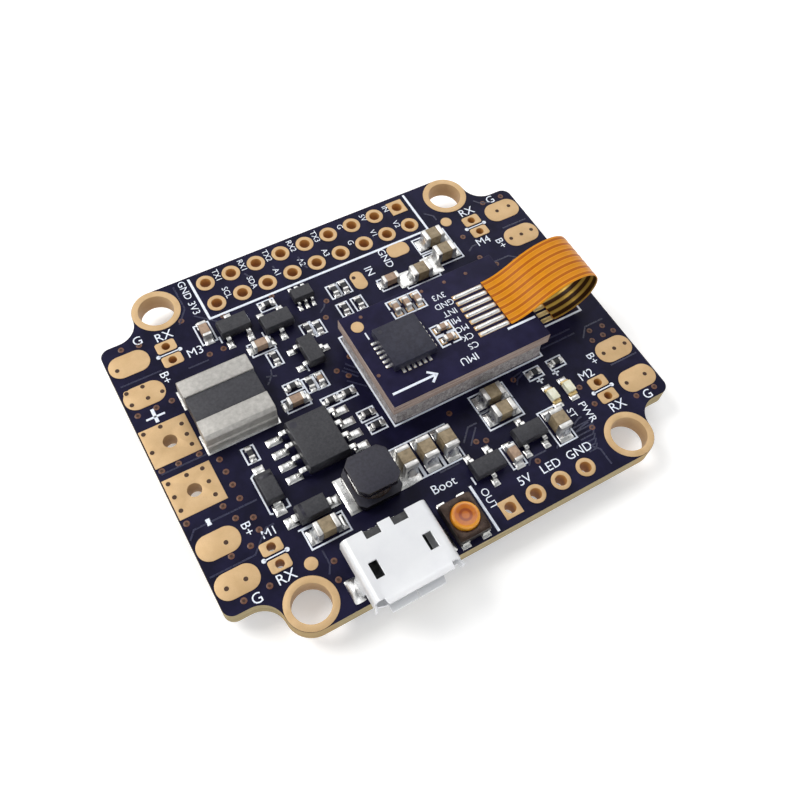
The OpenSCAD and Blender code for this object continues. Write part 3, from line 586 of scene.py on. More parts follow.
# finish and edge rounding, in millimetres, of the CAD nodes that keep their shape
LOOKS = {
    ("mask", 0.0): "board",
    ("sensor_mask", 0.03): "sensor_board",
    ("gold_wide", 0.02): "mounting_rings battery_pads",
    ("gold", 0.015): "header_holes accessory_holes signal_pads",
    ("gold", 0.02): "motor_pads test_pads",
    ("solder", 0.015): "component_pads",
    ("gold_finger", 0.015): "ribbon_pads usb_contacts",
    ("usb_plastic", 0.04): "usb_insulator",
    ("black_plastic", 0.06): "boot_switch_base",
    ("cover", 0.02): "boot_switch_cover",
    ("lead", 0.03): "boot_switch_terminals regulator_leads",
    ("amber", 0.03): "boot_button",
    ("shunt_dark", 0.08): "shunt_element",
    ("shunt_metal", 0.07): "shunt_terminals",
    ("epoxy", 0.06): "regulator_body",
    ("ferrite", 0.09): "inductor_core",
    ("solder", 0.03): "inductor_terminals",
    ("epoxy", 0.05): "diode_bodies transistor_bodies",
    ("lead", 0.025): "diode_leads transistor_leads",
    ("ceramic", 0.03): "power_capacitor_bodies",
    ("tin", 0.09): "power_capacitor_ends",
    ("ceramic_pink", 0.02): "small_capacitor_bodies sensor_capacitor_bodies decoupling_capacitor_bodies",
    ("tin", 0.06): "small_capacitor_ends",
    ("resistor", 0.02): "resistor_bodies",
    ("tin", 0.04): "resistor_ends sensor_capacitor_ends decoupling_capacitor_ends",
    ("epoxy", 0.04): "switch_chip_body",
    ("lead", 0.018): "switch_chip_leads",
    ("led_white", 0.02): "led_bases",
    ("led_lens", 0.07): "led_lenses",
    ("gold_finger", 0.03): "led_ends",
    ("gold", 0.012): "sensor_pads",
    ("sensor_epoxy", 0.02): "sensor_chip",
    ("gold_finger", 0.012): "sensor_chip_contacts",
    ("epoxy", 0.07): "processor_body",
    ("lead", 0.015): "processor_leads",
    ("crystal_case", 0.05): "crystal_base",
    ("crystal", 0.06): "crystal_lid",
}
for (finish, bevel), nodes in LOOKS.items():
    for cad_node in nodes.split():
        detail(cad_node, finish, bevel)


# ---- ribbon cable ----

def bezier(a, b, c, d, t):
    s = 1 - t
    return (np.array(a) * s ** 3 + 3 * np.array(b) * t * s * s
            + 3 * np.array(c) * t * t * s + np.array(d) * t ** 3)


def ribbon():
    """The flat cable: film with seven raised lines, looped from board to board."""
    pads = islands("ribbon_pads")
    fingers = islands("ribbon_fingers")
    thick = 0.11
    lift = 0.11         # middle of the film over a board
    base_x = max(b[1][0] for b in pads)
    start_x = max(b[1][0] for b in fingers) + 0.1
    top_y = np.mean([middle(b)[1] for b in fingers])
    base_y = np.mean([middle(b)[1] for b in pads])
    pitch = (max(middle(b)[1] for b in pads) - min(middle(b)[1] for b in pads)) / (len(pads) - 1)
    start = (start_x, SENSOR_TOP - TOP + lift)
    crest = (16.6, box_mm("ribbon")[1][2] - TOP - 0.08)
    end = (base_x, lift)
    path = [bezier(start, (start_x + 2.4, start[1]), (13.6, crest[1]), crest, i / 30) for i in range(30)]
    path += [bezier(crest, (21.3, crest[1] + 0.1), (21.3, end[1]), end, i / 36) for i in range(37)]
    half = 2.48
    across = 56
    verts, faces, uvs, kinds = [], [], [], []
    steps = len(path)
    for i, p in enumerate(path):
        a, b = path[max(i - 1, 0)], path[min(i + 1, steps - 1)]
        d = (b - a) / np.linalg.norm(b - a)
        n = np.array((-d[1], d[0]))
        y_mid = top_y + (base_y - top_y) * (1 - math.cos(math.pi * i / (steps - 1))) / 2
        for side in (1, -1):
            for k in range(across + 1):
                v = -half + 2 * half * k / across
                lines = abs(((v / pitch + 0.5) % 1) - 0.5)
                ridge = 1 - min(1, max(0, (lines - 0.22) / 0.16))
                ridge = ridge if abs(v) < pitch * 3.5 else 0
                off = side * thick / 2 * (0.55 + 0.45 * ridge)
                verts.append(((p[0] + n[0] * off) * MM, (y_mid + v) * MM,
                              (TOP + p[1] + n[1] * off) * MM))
                uvs.append((v / pitch + 4.0, i / steps * 24))
    row = across + 1

    def face(quad, outward, kind=0):
        faces.append(quad if outward else quad[::-1])
        kinds.append(kind)

    for i in range(steps - 1):
        for s in (0, 1):
            for k in range(across):
                a = (2 * i + s) * row + k
                b = a + 2 * row
                face((a, b, b + 1, a + 1), s == 0, s)
        for k in (0, across):
            a, b = 2 * i * row + k, (2 * i + 1) * row + k
            face((a, b, b + 2 * row, a + 2 * row), k == 0)
    for i in (0, steps - 1):
        for k in range(across):
            a, b = 2 * i * row + k, (2 * i + 1) * row + k
            face((a, a + 1, b + 1, b), i == 0)
    mesh = bpy.data.meshes.new("ribbon_cable")
    mesh.from_pydata(verts, [], faces)
    layer = mesh.uv_layers.new(name="lines")
    for loop in mesh.loops:
        layer.data[loop.index].uv = uvs[loop.vertex_index]
    # outer faces take the outside film, inner faces its copy with painted shade
    dress(mesh, ["film_out", "film_in_shaded"], 60)
    mesh.polygons.foreach_set("material_index", kinds)
    obj = add_object("ribbon_cable", mesh)
    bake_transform(obj)
    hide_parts("ribbon")

    # bare ends: gold on the main board, solder on the sensor board
    ends = Batch()
    for b in pads:
        ends.mound((b[0][0] + 0.02, b[0][1] - 0.02), (b[1][0] + 0.05, b[1][1] + 0.02), TOP + FOIL, 0.09, 6)
    ends.make("ribbon_gold_ends", MAIN, ["gold_finger"])
    joints = Batch()
    for b in fingers:
        joints.surface((b[0][0] - 0.12, b[0][1] - 0.02), (b[1][0] + 0.1, b[1][1] + 0.02),
                       SENSOR_TOP + 0.03,
                       lambda u, v, s=RNG.uniform(0, 6): (0.13 + 0.03 * math.sin(5 * u + s))
                       * (1 - abs(u) ** 6) * (1 - abs(v) ** 3), 14)
    finger = joints.make("ribbon_solder", SENSOR, ["solder"])
    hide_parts("ribbon_fingers")


ribbon()


# ---- foam ----

def foam_block():
    lo, hi = box_mm("sensor_foam")
    size = hi - lo
    bm = bmesh.new()
    bmesh.ops.create_cube(bm, size=1.0)
    bmesh.ops.subdivide_edges(bm, edges=bm.edges[:], cuts=15, use_grid_fill=True)
    for v in bm.verts:
        u = v.co * 2
        # cut sides that are slightly hollow and uneven, rounded only at their edges
        edge = 1 - 0.010 * (abs(u.x * u.y) ** 6)
        uneven = 0.035 * math.sin(9.1 * u.y + 2.3 * u.z) * math.cos(7.3 * u.x - 1.9 * u.z)
        hollow = 0.10 * (1 - u.z * u.z)
        x = u.x * edge * (size[0] / 2 - 0.02) - (hollow + uneven) * (u.x if abs(u.x) > 0.99 else 0)
        y = u.y * edge * (size[1] / 2 - 0.02) - (hollow + uneven) * (u.y if abs(u.y) > 0.99 else 0)
        v.co = Vector(((lo[0] + hi[0]) / 2 + x, (lo[1] + hi[1]) / 2 + y,
                       (lo[2] + hi[2]) / 2 + u.z * size[2] / 2)) * MM
    mesh = bpy.data.meshes.new("foam_pad")
    bm.to_mesh(mesh)
    bm.free()
    dress(mesh, ["foam"], 50)
    obj = add_object("foam_pad", mesh)
    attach(obj, MAIN)
    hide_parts("sensor_foam")
    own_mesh(obj)


foam_block()


# ---- USB shell ----

def usb_shell():
    """Folded sheet-metal socket: round edges, two windows, four flared lips and two feet."""
    lo, hi = box_mm("usb_insulator")
    cx, back = (lo[0] + hi[0]) / 2, hi[1] + 0.1
    z0, sheet = TOP + FOIL, 0.22
    half, tall, long = 3.75, 2.6, 5.4
    corners = [(-half + 1, 0, 0.4), (half - 1, 0, 0.4), (half, 1, 0.4), (half, tall, 0.55),
               (-half, tall, 0.55), (-half, 1, 0.4)]
    # half widths, from the middle: the seam, the open floor and the lower lip; then, in the top,
    # the inner and outer sides of the rear and front windows, and the upper lip
    seam, floor_w, low_lip = 0.03, 1.8, 2.45
    rear_in, rear_out, front_in, front_out, top_lip = 0.55, 1.85, 1.98, 2.72, 2.9
    side_lip = (1.25, 2.0)      # heights of the lips on the sides
    bottom_cuts = (low_lip, floor_w, seam)
    top_cuts = (top_lip, front_out, front_in, rear_out, rear_in)
    splits = {0: [-x for x in bottom_cuts] + list(bottom_cuts[::-1]),
              3: list(top_cuts) + [-x for x in top_cuts[::-1]]}
    ring = []
    for i, (x, z, r) in enumerate(corners):
        p = Vector((x, z))
        before = (Vector(corners[i - 1][:2]) - p).normalized()
        after = (Vector(corners[(i + 1) % 6][:2]) - p).normalized()
        turn = math.pi - before.angle(after)
        start = p + before * r * math.tan(turn / 2)
        n0 = Vector((-before.y, before.x))
        for k in range(7):
            a = turn * k / 6
            n = Vector((n0.x * math.cos(a) - n0.y * math.sin(a), n0.x * math.sin(a) + n0.y * math.cos(a)))
            ring.append((start - n0 * r + n * r, n, i))
        if i in splits:
            side = Vector((after.y, -after.x))
            ring += [(Vector((v, z)), side, i) for v in splits[i]]
        elif i in (2, 4):
            way = 1 if i == 2 else -1
            ring += [(Vector((way * half, h)), Vector((way, 0)), i) for h in side_lip[::way]]
    count = len(ring)
    body = [0, 0.8, 1.4, 2.5, 3.9, long]
    lips = [long + d for d in (0.14, 0.3, 0.46, 0.62)]
    along = body + lips
    verts, cells = [], []
    for y in along:
        t = max(0.0, (y - long) / 0.62)
        for p, n, i in ring:
            flare = 0.26 * t ** 1.6
            q = p + n * flare
            if t:
                q.x *= 1 - 0.03 * t * t if abs(n.y) > 0.9 else 1
            inner = q - n * sheet
            verts += [(cx + q.x, back - y, z0 + q.y), (cx + inner.x, back - y, z0 + inner.y)]

    def hole(j, k):
        a, b = ring[k][0], ring[(k + 1) % count][0]
        m, y = (a + b) / 2, (along[j] + along[j + 1]) / 2
        top, bottom = m.y > tall - 0.01, m.y < 0.01
        x = abs(m.x)
        if y > long:
            flap = (top and x < top_lip) or (bottom and seam < x < low_lip)
            return not (flap or (x > half - 0.01 and side_lip[0] < m.y < side_lip[1] and y < long + 0.46))
        if top:
            return front_in < x < front_out and 2.5 < y < 3.9 or rear_in < x < rear_out and y < 0.8
        return bottom and x < (floor_w if y < 1.4 else seam)

    solid = {(j, k): not hole(j, k) for j in range(len(along) - 1) for k in range(count)}
    faces = []
    for (j, k), there in solid.items():
        if not there:
            continue
        a, b = 2 * (j * count + k), 2 * (j * count + (k + 1) % count)
        c, d = a + 2 * count, b + 2 * count
        faces += [(a, b, d, c), (b + 1, a + 1, c + 1, d + 1)]
        for near, (p, q) in (((j - 1, k), (a, b)), ((j + 1, k), (d, c)),
                             ((j, (k - 1) % count), (c, a)), ((j, (k + 1) % count), (b, d))):
            if not solid.get(near, False):
                faces.append((q, p, p + 1, q + 1))
    shell = Batch()
    shell.add(verts, faces)
    # feet, bent out flat on the board
    for s in (-1, 1):
        outer = [(half - 0.02, 1.15), (half - 0.02, 0.4), (half + 0.06, 0.2), (half + 0.2, 0.14),
                 (half + 0.6, 0.12)]
        inner = [(half - 0.2, 1.15), (half - 0.2, 0.3), (half - 0.12, 0.08), (half + 0.05, 0.01),
                 (half + 0.6, 0.0)]
        loop = outer + inner[::-1]
        n = len(loop)
        ends = [(cx + s * x, back - y, z0 + z) for y in (2.45, 3.95) for x, z in loop]
        quads = [(k, (k + 1) % n, (k + 1) % n + n, k + n) for k in range(n)]
        caps = [tuple(range(n))[::-1], tuple(range(n, 2 * n))]
        shell.add(ends, [f[::-s] if s < 0 else f for f in quads + caps])
    obj = shell.make("usb_socket_shell", MAIN, ["shell"])
    bm = bmesh.new()
    bm.from_mesh(obj.data)
    bmesh.ops.recalc_face_normals(bm, faces=bm.faces)
    bm.to_mesh(obj.data)
    bm.free()
    obj.data.set_sharp_from_angle(angle=math.radians(35))
    soft = obj.modifiers.new("soft_edges", "BEVEL")
    soft.width, soft.segments, soft.limit_method = 0.035 * MM, 2, "ANGLE"
    soft.angle_limit = math.radians(50)
    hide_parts("usb_shell")
    blobs = Batch()
    for s in (-1, 1):
        blobs.mound((cx + s * 4.1 - 0.5, back - 4.25), (cx + s * 4.1 + 0.5, back - 2.15), z0, 0.5, 2.4)
    blobs.make("usb_solder", MAIN, ["solder"])
    # a dark plastic plate seen through the windows, partly the carrier's floor and partly standing in for the
    # shade inside the shell
    floor = Batch()
    low, high, w = z0 + 0.24, z0 + 0.34, 2.95
    ends = [(cx + x, back - y) for x, y in ((-w, 4.3), (w, 4.3), (w, 1.5), (-w, 1.5))]
    floor.add([(x, y, z) for z in (low, high) for x, y in ends],
              [(3, 2, 1, 0), (4, 5, 6, 7), (0, 1, 5, 4), (1, 2, 6, 5), (2, 3, 7, 6), (3, 0, 4, 7)])
    floor.make("usb_floor_shade_plate", MAIN, ["usb_plastic"])


usb_shell()


# ---- inductor winding ----

def winding():
    lo, hi = box_mm("inductor_winding")
    cx, cy = (lo[0] + hi[0]) / 2, (lo[1] + hi[1]) / 2
    coil = Batch()
    turns, wire = 6, (hi[2] - lo[2]) / 12
    for row, shrink in ((0, 0.0), (1, 0.28)):
        for t in range(turns):
            z = lo[2] + wire * (2 * t + 1)
            r = (hi[0] - lo[0]) / 2 - wire - shrink
            ring = [(r + wire * math.cos(a), z + wire * math.sin(a))
                    for a in (math.pi * k / 5 for k in range(10))]
            coil.lathe(cx, cy, ring + ring[:1], 48)
    obj = coil.make("coil_winding", MAIN, ["wire"])
    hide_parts("inductor_winding")


winding()


# ---- solder ----

def solder_joints(body, pad_nodes, end_pairs, z, name, height=0.1):
    heap = Batch()
    for node in pad_nodes:
        for lo, hi in islands(node):
            short = min(hi[0] - lo[0], hi[1] - lo[1])
            heap.mound(lo, hi, z, height * min(1.0, short / 0.6) * RNG.uniform(0.8, 1.15), 4)
    for ends, bodies, reach in end_pairs:
        middles = [middle(b) for b in islands(bodies)]
        for box in islands(ends):
            c = middle(box)
            near = min(middles, key=lambda m: (m[0] - c[0]) ** 2 + (m[1] - c[1]) ** 2)
            heap.fillet(box, c - near, reach * RNG.uniform(0.9, 1.1), z)
    return heap.make(name, body, ["solder"])


solder_joints(MAIN, ["component_pads"],
              [("power_capacitor_ends", "power_capacitor_bodies", 0.5),
               ("small_capacitor_ends", "small_capacitor_bodies", 0.3),
               ("resistor_ends", "resistor_bodies", 0.24)], TOP + FOIL, "solder_joints")
solder_joints(SENSOR, ["sensor_chip_contacts"],
              [("sensor_capacitor_ends", "sensor_capacitor_bodies", 0.2)],
              SENSOR_TOP + FOIL, "sensor_solder", 0.09)


# ---- vias, tracks, white print ----

PAD_VIAS = [
    (-20.9, 4.05), (-19.4, 4.1), (-17.75, 3.55), (-17.75, 2.45), (-17.75, 1.4), (-20.9, 2.15),
    (-20.85, -1.05), (-19.25, -1.0), (-17.9, -1.05), (-20.85, -2.35), (-17.9, -2.35),
    (-20.85, -3.65), (-17.9, -3.65), (-20.55, 10.85), (-20.7, 8.35), (-19.25, 8.4),
    (-20.7, 7.1), (-19.25, 7.15), (-17.95, 7.2), (-18.85, -7.75), (-20.35, -11.15),
    (-18.75, -11.15), (18.9, 11.15), (20.3, 11.2), (18.2, 7.55), (19.4, 7.55), (20.6, 7.6),
    (18.25, -7.55), (19.45, -7.55), (20.65, -7.55), (18.2, -11.05), (20.25, -11.05), (2.25, 10.35)]
MASKED_VIAS = [
    (-19.5, 12.75), (-17.95, 12.5), (-20.65, 5.95), (-19.0, 5.98), (-17.6, 6.0), (-20.85, 0.28),
    (-19.4, 0.28), (-17.6, 0.28), (-20.9, -4.85), (-17.8, -4.85), (-16.35, -0.95), (-16.35, -2.2),
    (-16.35, -3.5), (-16.35, -4.85), (-17.35, -6.25), (-16.1, -6.85), (-17.3, -8.9), (-16.15, -8.0),
    (-18.95, -8.95), (-19.6, -12.6), (-17.4, -12.5), (18.2, -12.5), (20.2, -12.5), (18.2, -5.9),
    (19.45, -5.85), (20.6, -5.9), (18.6, -4.9), (20.0, -5.0), (18.2, 12.7), (20.3, 12.65),
    (-12.9, 8.8), (-11.6, 8.8), (-13.7, 13.2), (-2.1, 7.6), (-2.2, 2.9), (-10.2, 12.0),
    (-3.9, 2.1), (-3.2, 1.2), (3.2, -9.6), (2.6, -6.2), (4.0, -9.9), (9.4, -6.0), (9.0, -4.6),
    (14.2, -9.4), (14.4, -11.4), (12.8, -13.2), (6.8, -13.6), (-12.2, -13.1), (-12.6, -14.6),
    (14.1, 9.9), (14.2, 7.0), (17.0, 5.1), (15.2, 5.6), (-5.4, 12.0), (-1.2, 9.2)]


def via_marks():
    # in every via the middle disc of the second material is painted shade standing in for the hole
    marks = Batch()
    for x, y in PAD_VIAS:
        z = TOP + 0.055
        marks.lathe(x, y, [(0.27, z), (0.22, z + 0.012), (0.18, z - 0.001)], 18, 0)
        marks.lathe(x, y, [(0.2, z + 0.004), (0.0, z + 0.004)], 18, 1)
    for x, y in MASKED_VIAS:
        z = TOP + 0.002
        marks.lathe(x, y, [(0.27, z), (0.22, z + 0.018), (0.12, z + 0.012)], 16, 2)
        marks.lathe(x, y, [(0.14, z + 0.011), (0.0, z + 0.004)], 16, 1)
    for sx in (-1, 1):
        for x, y in ((4.1, 9.3), (9.1, 4.3), (9.4, -6.2), (6.2, -9.6), (11.3, 7.7), (13.2, -8.4)):
            z = -0.002
            marks.lathe(sx * x, y, [(0.15, z - 0.016), (0.25, z - 0.02), (0.3, z)], 16, 2)
            marks.lathe(sx * x, y, [(0.0, z - 0.006), (0.17, z - 0.014)], 16, 1)
    marks.make("vias", MAIN, ["gold", "hole_shade", "via"])


via_marks()

TRACKS = [
    [(13.5, -3.85), (17.1, -3.85)], [(13.5, -4.45), (17.2, -4.45)],
    [(17.6, -5.3), (18.5, -4.35), (20.5, -4.35)], [(18.1, -8.85), (21.0, -8.85)],
    [(-21.2, -6.3), (-20.6, -5.6), (-15.2, -5.6)], [(-20.9, 9.2), (-17.2, 9.2)],
    [(-21.1, -9.75), (-17.3, -9.75), (-15.6, -8.1), (-14.9, -8.1)], [(-21.0, 0.0), (-17.0, 0.0)],
    [(18.2, 9.05), (20.9, 9.05)], [(17.5, 13.4), (17.9, 12.9), (19.0, 12.4)],
    [(2.2, -9.2), (3.3, -8.1), (4.2, -8.1)], [(2.6, -9.7), (3.9, -8.4)],
    [(9.4, -6.6), (9.8, -6.1), (10.6, -5.85)], [(9.2, -6.2), (9.6, -5.75), (10.6, -5.6)],
    [(11.6, -12.2), (12.3, -11.9), (12.6, -11.9)], [(11.3, -12.9), (12.0, -12.7), (12.8, -12.6)],
    [(8.9, -13.4), (9.4, -13.0)], [(5.9, -13.6), (6.4, -13.1), (8.0, -13.1)],
    [(-14.0, 12.9), (-12.9, 14.3), (-12.9, 17.0)], [(-1.2, 15.0), (-1.25, 14.2), (-1.0, 13.4)],
    [(-3.8, 15.1), (-3.75, 14.6)], [(-6.5, 15.5), (-6.2, 14.9)], [(-2.3, 8.3), (-1.7, 8.7), (-1.5, 9.0)],
    [(-3.5, 1.9), (-2.5, 0.7)], [(-3.2, 2.1), (-2.3, 1.0)], [(-2.9, 2.4), (-2.25, 1.6)],
    [(-3.6, 0.8), (-2.3, -0.5)], [(-12.5, 13.2), (-10.9, 11.7)], [(-9.6, 4.4), (-8.7, 4.1)],
    [(-9.8, 3.6), (-9.1, 4.3), (-8.9, 4.9)], [(13.7, 8.1), (14.3, 8.5), (14.8, 8.5)],
    [(12.2, 14.2), (12.9, 13.5), (12.9, 12.9)], [(14.2, 5.9), (16.8, 5.9), (17.9, 4.9)],
    [(-12.6, -11.9), (-12.6, -13.2), (-13.0, -13.9)], [(-1.0, -10.6), (0.9, -10.6)],
    [(11.6, -14.6), (12.2, -15.2), (12.2, -16.8)], [(-15.1, 8.3), (-13.2, 8.3)]]


def tracks():
    lines = Batch()
    for points in TRACKS:
        lines.strip(points, 0.16, TOP - 0.004, 0.022)
    for k in range(7):
        y = -15.0 + 0.42 * k
        lines.strip([(11.2, y), (11.9 + 0.2 * k, y), (12.3 + 0.2 * k, y + 0.4)], 0.14, TOP - 0.004, 0.018)
    for side in (-1, 1):
        for k in range(9):
            x = 6.8 + 0.55 * k
            lines.strip([(side * x, 6.6 + 0.1 * k), (side * (x + 0.7), 7.6 + 0.1 * k),
                         (side * (x + 0.7), 9.5)], 0.16, -0.018, 0.016)
            lines.strip([(side * x, -9.5), (side * x, -7.4 - 0.15 * k), (side * (x - 0.8), -6.6)],
                        0.16, -0.018, 0.016)
    lines.make("masked_tracks", MAIN, ["track"], smooth=False)


tracks()


def outline(ink, x0, y0, x1, y1, z, gap=None):
    """A part's outline in white print, with a break in its long sides."""
    w, h = 0.15, INK_T
    if gap is None:
        ink.frame(x0, y0, x1, y1, w, z, h)
        return
    g = gap
    if x1 - x0 > y1 - y0:
        m = (x0 + x1) / 2
        ink.strip([(m - g, y0), (x0, y0), (x0, y1), (m - g, y1)], w, z, h)
        ink.strip([(m + g, y0), (x1, y0), (x1, y1), (m + g, y1)], w, z, h)
    else:
        m = (y0 + y1) / 2
        ink.strip([(x0, m - g), (x0, y0), (x1, y0), (x1, m - g)], w, z, h)
        ink.strip([(x0, m + g), (x0, y1), (x1, y1), (x1, m + g)], w, z, h)


HEADER_FRAME = [(-11.35, 17.2), (-11.35, 12.25), (11.55, 12.25), (11.55, 17.2)]


def main_print():
    ink = Batch()
    z, h = TOP + 0.002, INK_T
    ink.strip(HEADER_FRAME, 0.24, z, h)
    ink.strip([(0.52, -12.8), (0.52, -17.25)], 0.24, z, h)
    # round each chip: pads of one part joined into one outline
    for ends, margin in (("power_capacitor_ends", 0.75), ("small_capacitor_ends", 0.3),
                         ("resistor_ends", 0.26)):
        bodies = islands(ends.replace("ends", "bodies"))
        for lo, hi in bodies:
            near = [b for b in islands(ends)
                    if np.linalg.norm((middle(b) - middle((lo, hi)))[:2]) < 0.62 + (hi - lo)[:2].max() / 2]
            lows = np.min([b[0] for b in near], 0)
            highs = np.max([b[1] for b in near], 0)
            x_long = highs[0] - lows[0] > highs[1] - lows[1]
            grow = np.array((margin, 0.28) if x_long else (0.28, margin))
            outline(ink, *(lows[:2] - grow), *(highs[:2] + grow), z)
    for lo, hi in islands("diode_bodies"):
        tall = hi[1] - lo[1] > hi[0] - lo[0]
        if tall:
            x = lo[0] + 0.12
            ink.strip([(x + 0.2, hi[1] + 0.55), (x - 0.12, hi[1] + 0.35), (x - 0.12, lo[1] - 0.5),
                       (x + 0.1, lo[1] - 0.6)], 0.15, z, h)
            ink.strip([(hi[0] + 0.1, lo[1] + 0.1), (hi[0] + 0.1, lo[1] - 0.6), (hi[0] - 0.3, lo[1] - 0.6)],
                      0.15, z, h)
        else:
            ink.strip([(lo[0] - 0.4, lo[1] - 0.1), (hi[0] - 0.2, lo[1] - 0.1)], 0.15, z, h)
    for lo, hi in islands("transistor_bodies"):
        ink.strip([(lo[0] - 0.1, lo[1] - 0.05), (lo[0] - 0.1, lo[1] + 0.7)], 0.15, z, h)
        ink.strip([(hi[0] + 0.1, hi[1] - 0.6), (hi[0] + 0.1, hi[1] + 0.1), (hi[0] - 0.5, hi[1] + 0.1)],
                  0.15, z, h)
    lo, hi = box_mm("sensor_foam")
    ink.frame(lo[0] - 0.06, lo[1] - 0.12, hi[0] + 0.08, hi[1] + 0.1, 0.17, z, h)
    ink.strip([(15.0, -2.6), (19.25, -2.6), (19.25, 2.85), (15.0, 2.85)], 0.2, z, h)
    for sx in (-1, 1):
        for y in (10.52, -10.52):
            ink.strip([(sx * 15.0, y), (sx * 16.9, y)], 0.12, z, h)
            for x in (14.95, 16.95):
                ink.lathe(sx * x, y, [(0.2, z), (0.17, z + h), (0, z + h)], 12)
    ink.strip([(-20.2, 5.2), (-18.55, 5.2)], 0.2, z, h)
    ink.strip([(-19.4, 6.0), (-19.4, 4.62)], 0.3, z, h)
    ink.strip([(-19.35, -5.25), (-19.35, -5.85)], 0.36, z, h)
    for x in (11.5, 13.2):
        ink.strip([(x - 0.35, -7.15), (x + 0.35, -7.15)], 0.16, z, h)
        ink.strip([(x, -7.5), (x, -6.85)], 0.16, z, h)
    flat = z + h * 0.7
    # generic names: ground, battery plus, motor numbers and pin functions
    for text, size, turn, places in [
            ("G", 1.25, 0, [(-17.9, 12.95), (19.1, 12.72), (-18.65, -12.95), (19.2, -12.85)]),
            ("B+", 1.1, -90, [(-17.2, 8.35), (-16.95, -7.5), (17.0, 7.55), (17.0, -7.5)]),
            ("RX", 1.25, 0, [(-15.7, 12.4), (16.1, 12.45), (-16.0, -12.5), (16.1, -12.5)])]:
        for x, y in places:
            ink.letters(text, x, y, size, turn, flat)
    for text, x, y, size, turn in [
            ("M3", -13.9, 9.62, 1.2, 0), ("M1", -15.55, -8.6, 1.05, 0), ("M4", 15.6, 8.55, 1.2, 0),
            ("M2", 15.5, -8.65, 1.2, 0), ("GND", -12.15, 16.2, 0.98, -90),
            ("3V3", -12.15, 14.0, 0.98, -90), ("IN", 3.95, 10.4, 1.1, -90),
            ("GND", 6.05, 11.05, 1.05, -90), ("5V", 4.85, -14.5, 1.15, 0), ("LED", 7.5, -14.5, 1.15, 0),
            ("GND", 10.45, -14.5, 1.15, 0), ("OUT", 1.3, -14.5, 0.95, -90),
            ("Boot", -1.35, -11.75, 1.15, 0), ("PWR", 13.35, -11.75, 1.0, -90),
            ("ST", 12.05, -11.2, 0.9, -90)]:
        ink.letters(text, x, y, size, turn, flat)
    header_names = [("TX1", "SCL"), ("RX1", "SDA"), ("TX2", "A1"), ("RX2", "A2"), ("TX3", "A3"),
                    ("G", "G"), ("5V", "V1"), ("IN", "V2")]
    first_x, pin_pitch = -8.84, 2.54
    for k, (outer, inner) in enumerate(header_names):
        x = first_x + pin_pitch * k + (0.15 if k > 4 else 0)
        ink.letters(outer, x, 16.45, 0.8, -90, flat)
        ink.letters(inner, x, 14.25, 0.8, -90, flat)
    ink.make("white_print", MAIN, ["ink"], smooth=False)


main_print()


def sensor_print():
    ink = Batch()
    z, h = SENSOR_TOP + 0.002, 0.02
    ink.strip([(-2.15, -4.3), (1.9, -4.3)], 0.22, z, h)
    ink.strip([(1.35, -3.75), (2.02, -4.3), (1.35, -4.85)], 0.22, z, h)
    ink.strip([(9.75, -3.3), (12.6, -3.3)], 0.22, z, h)
    boxes = islands("sensor_capacitor_ends")
    for lo, hi in islands("sensor_capacitor_bodies"):
        near = [b for b in boxes if np.linalg.norm((middle(b) - middle((lo, hi)))[:2]) < 0.7]
        lows, highs = np.min([b[0] for b in near], 0), np.max([b[1] for b in near], 0)
        grow = np.array((0.42, 0.26)) if highs[0] - lows[0] > highs[1] - lows[1] else np.array((0.26, 0.42))
        outline(ink, *(lows[:2] - grow), *(highs[:2] + grow), z, gap=0.12)
    lo, hi = box_mm("sensor_chip")
    ink.strip([(lo[0] - 0.3, hi[1] - 0.2), (lo[0] - 0.3, hi[1] + 0.55)], 0.14, z, h)
    for k, text in enumerate(["3V3", "GND", "INT", "MI", "MO", "CK", "CS"]):
        ink.letters(text, 6.25, 2.4 - 0.95 * k, 0.84, 180, z + 0.012)
    ink.letters("IMU", 5.2, -4.3, 1.0, 180, z + 0.012)
    ink.make("sensor_print", SENSOR, ["ink"], smooth=False)
    dots = Batch()
    for x, y in ((-0.8, 3.6), (5.2, 3.55), (7.5, 3.5), (9.7, 3.45), (-2.3, -2.2)):
        dots.lathe(x, y, [(0.17, z), (0.13, z + 0.015), (0.05, z + 0.01), (0, z + 0.004)], 12, 0)
    dots.make("sensor_vias", SENSOR, ["via"])


sensor_print()


def under_print():
    """White print on the underside, seen from below."""
    ink = Batch()
    z = -0.024
    ink.frame(-6.4, -6.4, 6.4, 6.4, 0.16, z, 0.02)
    ink.frame(-11.5, -0.1, -7.5, 3.1, 0.16, z, 0.02)
    ink.strip(HEADER_FRAME, 0.24, z, 0.02)
    for sx, sy, motor in ((-1, -1, "M1"), (1, -1, "M2"), (-1, 1, "M3"), (1, 1, "M4")):
        ink.letters("G", sx * 19.2, sy * 12.8, 1.2, 0, z, flip=True)
        ink.letters(motor, sx * 13.9, sy * 9.7, 1.2, 0, z, flip=True)
        if motor != "M1":
            ink.letters("B+", sx * 19.4, sy * 5.9, 1.2, 0, z, flip=True)
    ink.make("under_print", MAIN, ["ink"], smooth=False)


under_print()


# ---- small shapes on parts ----

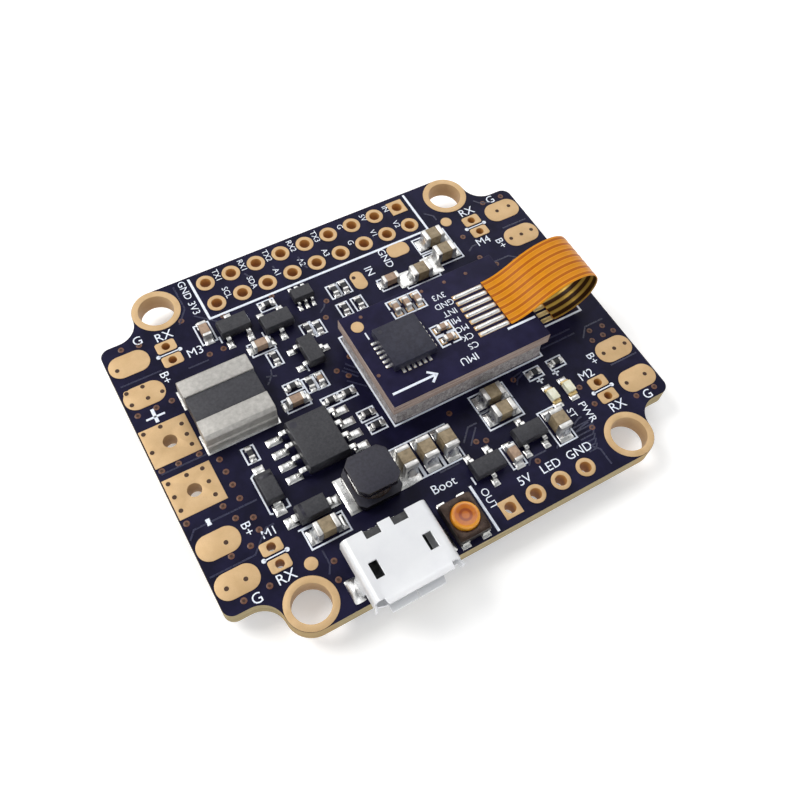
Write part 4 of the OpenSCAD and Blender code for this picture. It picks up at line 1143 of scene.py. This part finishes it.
def part_marks():
    """Pin-one dots on two chips and the light line across each diode."""
    marks = Batch()
    lo, hi = box_mm("regulator_body")
    marks.lathe(lo[0] + 0.65, hi[1] - 0.65,
                [(0.3, hi[2] + 0.002), (0.26, hi[2] + 0.006), (0, hi[2] + 0.004)])
    for lo, hi in islands("diode_bodies"):
        tall = hi[1] - lo[1] > hi[0] - lo[0]
        a = (lo[0] + 0.16, hi[1] - 0.55) if tall else (lo[0] + 0.5, lo[1] + 0.16)
        b = (hi[0] - 0.16, hi[1] - 0.55) if tall else (lo[0] + 0.5, hi[1] - 0.16)
        marks.strip([a, b], 0.3, hi[2] - 0.003, 0.01)
    marks.make("part_marks", MAIN, ["ferrite"])
    dot = Batch()
    lo, hi = box_mm("sensor_chip")
    dot.lathe(lo[0] + 0.5, hi[1] - 0.5, [(0.2, hi[2] + 0.002), (0.17, hi[2] + 0.005), (0, hi[2] + 0.004)], 16)
    dot.make("sensor_chip_mark", SENSOR, ["ferrite"])


part_marks()


# ---- floor, light, camera ----

def stage():
    """A pale bowl, flat under the part and curving up far behind it, and soft lamps."""
    z = float(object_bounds()[0][2]) / MM - 0.02
    sweep = Batch()
    rim = [(700 + 300 * math.sin(a), z + 300 - 300 * math.cos(a))
           for a in (math.pi / 2 * k / 10 for k in range(11))]
    sweep.lathe(0, 0, [(0, z), (200, z), (450, z)] + rim + [(1000, z + 900)], 64)
    s = Shader("pale_floor")
    s.set(Base_Color=s.mix(s.mottle(60), (0.87, 0.87, 0.87), (0.90, 0.90, 0.90)),
          Roughness=0.9, Specular_IOR_Level=0.1, Emission_Color=(1, 1, 1), Emission_Strength=0.3)
    MATS["floor"] = s.mat
    add_object("floor", sweep.mesh("floor", ["floor"]))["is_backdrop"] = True

    world = bpy.data.worlds.new("studio")
    bpy.context.scene.world = world
    world.use_nodes = True
    sky = world.node_tree.nodes["Background"].inputs
    sky["Color"].default_value = (0.95, 0.97, 1.0, 1)
    sky["Strength"].default_value = 0.3

    def lamp(name, place, size, power, colour=(1, 1, 1)):
        data = bpy.data.lights.new(name, "AREA")
        data.shape, data.size, data.energy, data.color = "DISK", size, power, colour
        light = add_object(name, data)
        light.location = place
        light.rotation_euler = Vector(place).to_track_quat("Z", "Y").to_euler()

    lamp("key", (-0.22, 0.2, 0.34), 0.22, 1.1, (1.0, 0.98, 0.95))
    lamp("top", (0.2, 0.24, 0.45), 0.34, 0.5)
    lamp("fill", (-0.1, -0.34, 0.25), 0.26, 0.14, (0.96, 0.98, 1.0))


def camera():
    azimuth, elevation, roll = (math.radians(a) for a in (-36.0, 60.0, -6.9))
    target = Vector((-0.47, -3.05, TOP)) * MM
    back = Vector((math.sin(azimuth) * math.cos(elevation), -math.cos(azimuth) * math.cos(elevation),
                   math.sin(elevation)))
    right = (-back).cross(Vector((0, 0, 1))).normalized()
    down = (-back).cross(right).normalized()
    x = math.cos(roll) * right + math.sin(roll) * down
    y = -(-math.sin(roll) * right + math.cos(roll) * down)
    m = Matrix((x, y, back)).transposed().to_4x4()
    m.translation = target + back * 0.0746
    data = bpy.data.cameras.new("camera")
    data.lens, data.sensor_width = 38.9, 36
    data.clip_start, data.clip_end = 0.002, 20
    cam = add_object("camera", data)
    cam.matrix_world = m
    bpy.context.scene.camera = cam


stage()
camera()
view = bpy.context.scene.view_settings
view.view_transform = "Standard"
view.look = "None"
